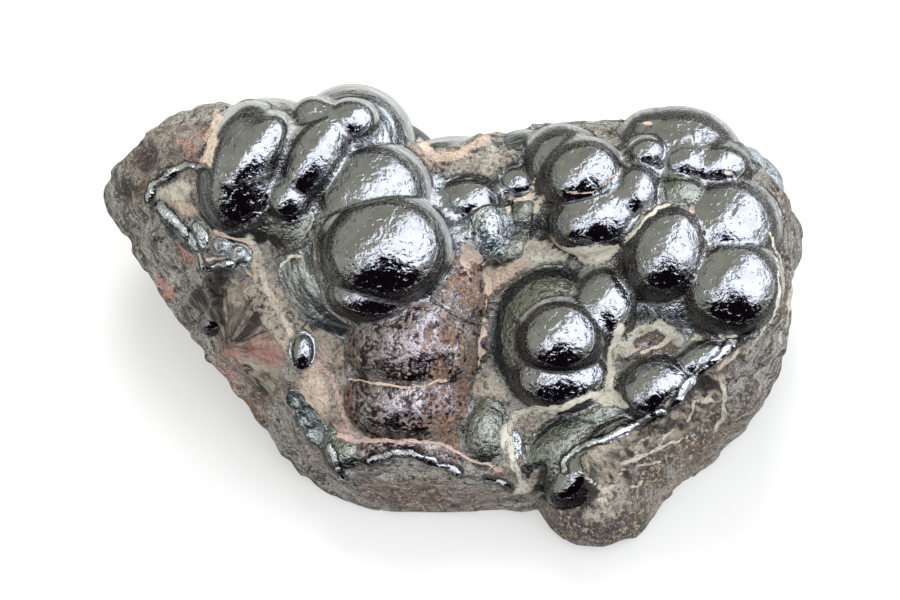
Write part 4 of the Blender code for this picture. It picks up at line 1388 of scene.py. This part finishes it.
def make_room():
    """The room that the domes mirror: a slanting bright window up and to the right, an olive-grey room on the
    left, a dark shape below, and a white sweep of card behind.

    A mirror's slope lies half way between the direction of the camera and that of what it shows, so the
    places are found by that half-way direction, in the face frame.
    """
    world = bpy.data.worlds.new("studio")
    bpy.context.scene.world = world
    world.use_nodes = True
    tree = world.node_tree
    ray = add_node(tree, "ShaderNodeTexCoord").outputs["Generated"]
    inputs = {0: ray, 1: tuple(FACE_AXES[2])}
    toward = add_node(tree, "ShaderNodeVectorMath", inputs, operation="ADD").outputs[0]
    half_way = add_node(tree, "ShaderNodeVectorMath", {0: toward}, operation="NORMALIZE").outputs[0]
    sky = add_node(tree, "ShaderNodeSeparateXYZ", {"Vector": ray})
    path = add_node(tree, "ShaderNodeLightPath")
    fields = {
        "level": sky.outputs[2],
        "back": sky.outputs[1],
        "lighting": path.outputs["Is Diffuse Ray"],
        "seen": path.outputs["Is Camera Ray"],
    }
    for name, axis in zip(("right", "up"), FACE_AXES):
        inputs = {0: half_way, 1: tuple(axis)}
        node = add_node(tree, "ShaderNodeVectorMath", inputs, operation="DOT_PRODUCT")
        fields[name] = node.outputs["Value"]
    for name, field in ROOM_FIELDS.items():
        fields[name] = worked_out(tree, fields, field)
    colour = painted(tree, fields, ROOM, ROOM_COATS)
    tree.links.new(colour, tree.nodes["Background"].inputs[0])


def make_lamp():
    """A large soft lamp high behind the stone, which throws a soft shadow in front. Mirrors don't show it."""
    data = bpy.data.lights.new("soft_lamp", "AREA")
    data.shape = "DISK"
    data.size = LAMP_SIZE
    data.energy = LAMP_WATTS
    lamp = bpy.data.objects.new("soft_lamp", data)
    place = Vector(LAMP_PLACE)
    lamp.matrix_world = Matrix.Translation(place) @ place.to_track_quat("Z", "Y").to_matrix().to_4x4()
    lamp.visible_glossy = False
    bpy.context.scene.collection.objects.link(lamp)


def make_camera():
    """The camera, square to the domed face."""
    data = bpy.data.cameras.new("camera")
    data.lens = LENS_MM
    data.sensor_width = SENSOR_MM
    data.clip_start = 0.01
    camera = bpy.data.objects.new("camera", data)
    place = to_world(np.array(((AIM_ACROSS, AIM_UP, CAMERA_DISTANCE),)))[0]
    camera.matrix_world = Matrix.Translation(Vector(place)) @ Matrix(FACE_AXES.T.tolist()).to_4x4()
    bpy.context.scene.collection.objects.link(camera)
    bpy.context.scene.camera = camera


def make_stone():
    """The whole stone, in place of its plain solid."""
    wrap, points = wrapped_stone()
    slope = stone(points)[1]
    slope = slope / np.linalg.norm(slope, axis=1, keepdims=True)
    masks = make_masks(points, slope)
    masks["fan_share"], place = fan_places(points)
    points = weathered(points, slope, masks, place)
    piece = mesh_object("hematite_stone", wrap, points, masks, place)
    piece.data.materials.append(hematite_material())
    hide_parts(NODE)
    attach(piece, "root")


make_stone()
make_floor()
make_room()
make_lamp()
make_camera()
bpy.context.scene.view_settings.view_transform = "Standard"
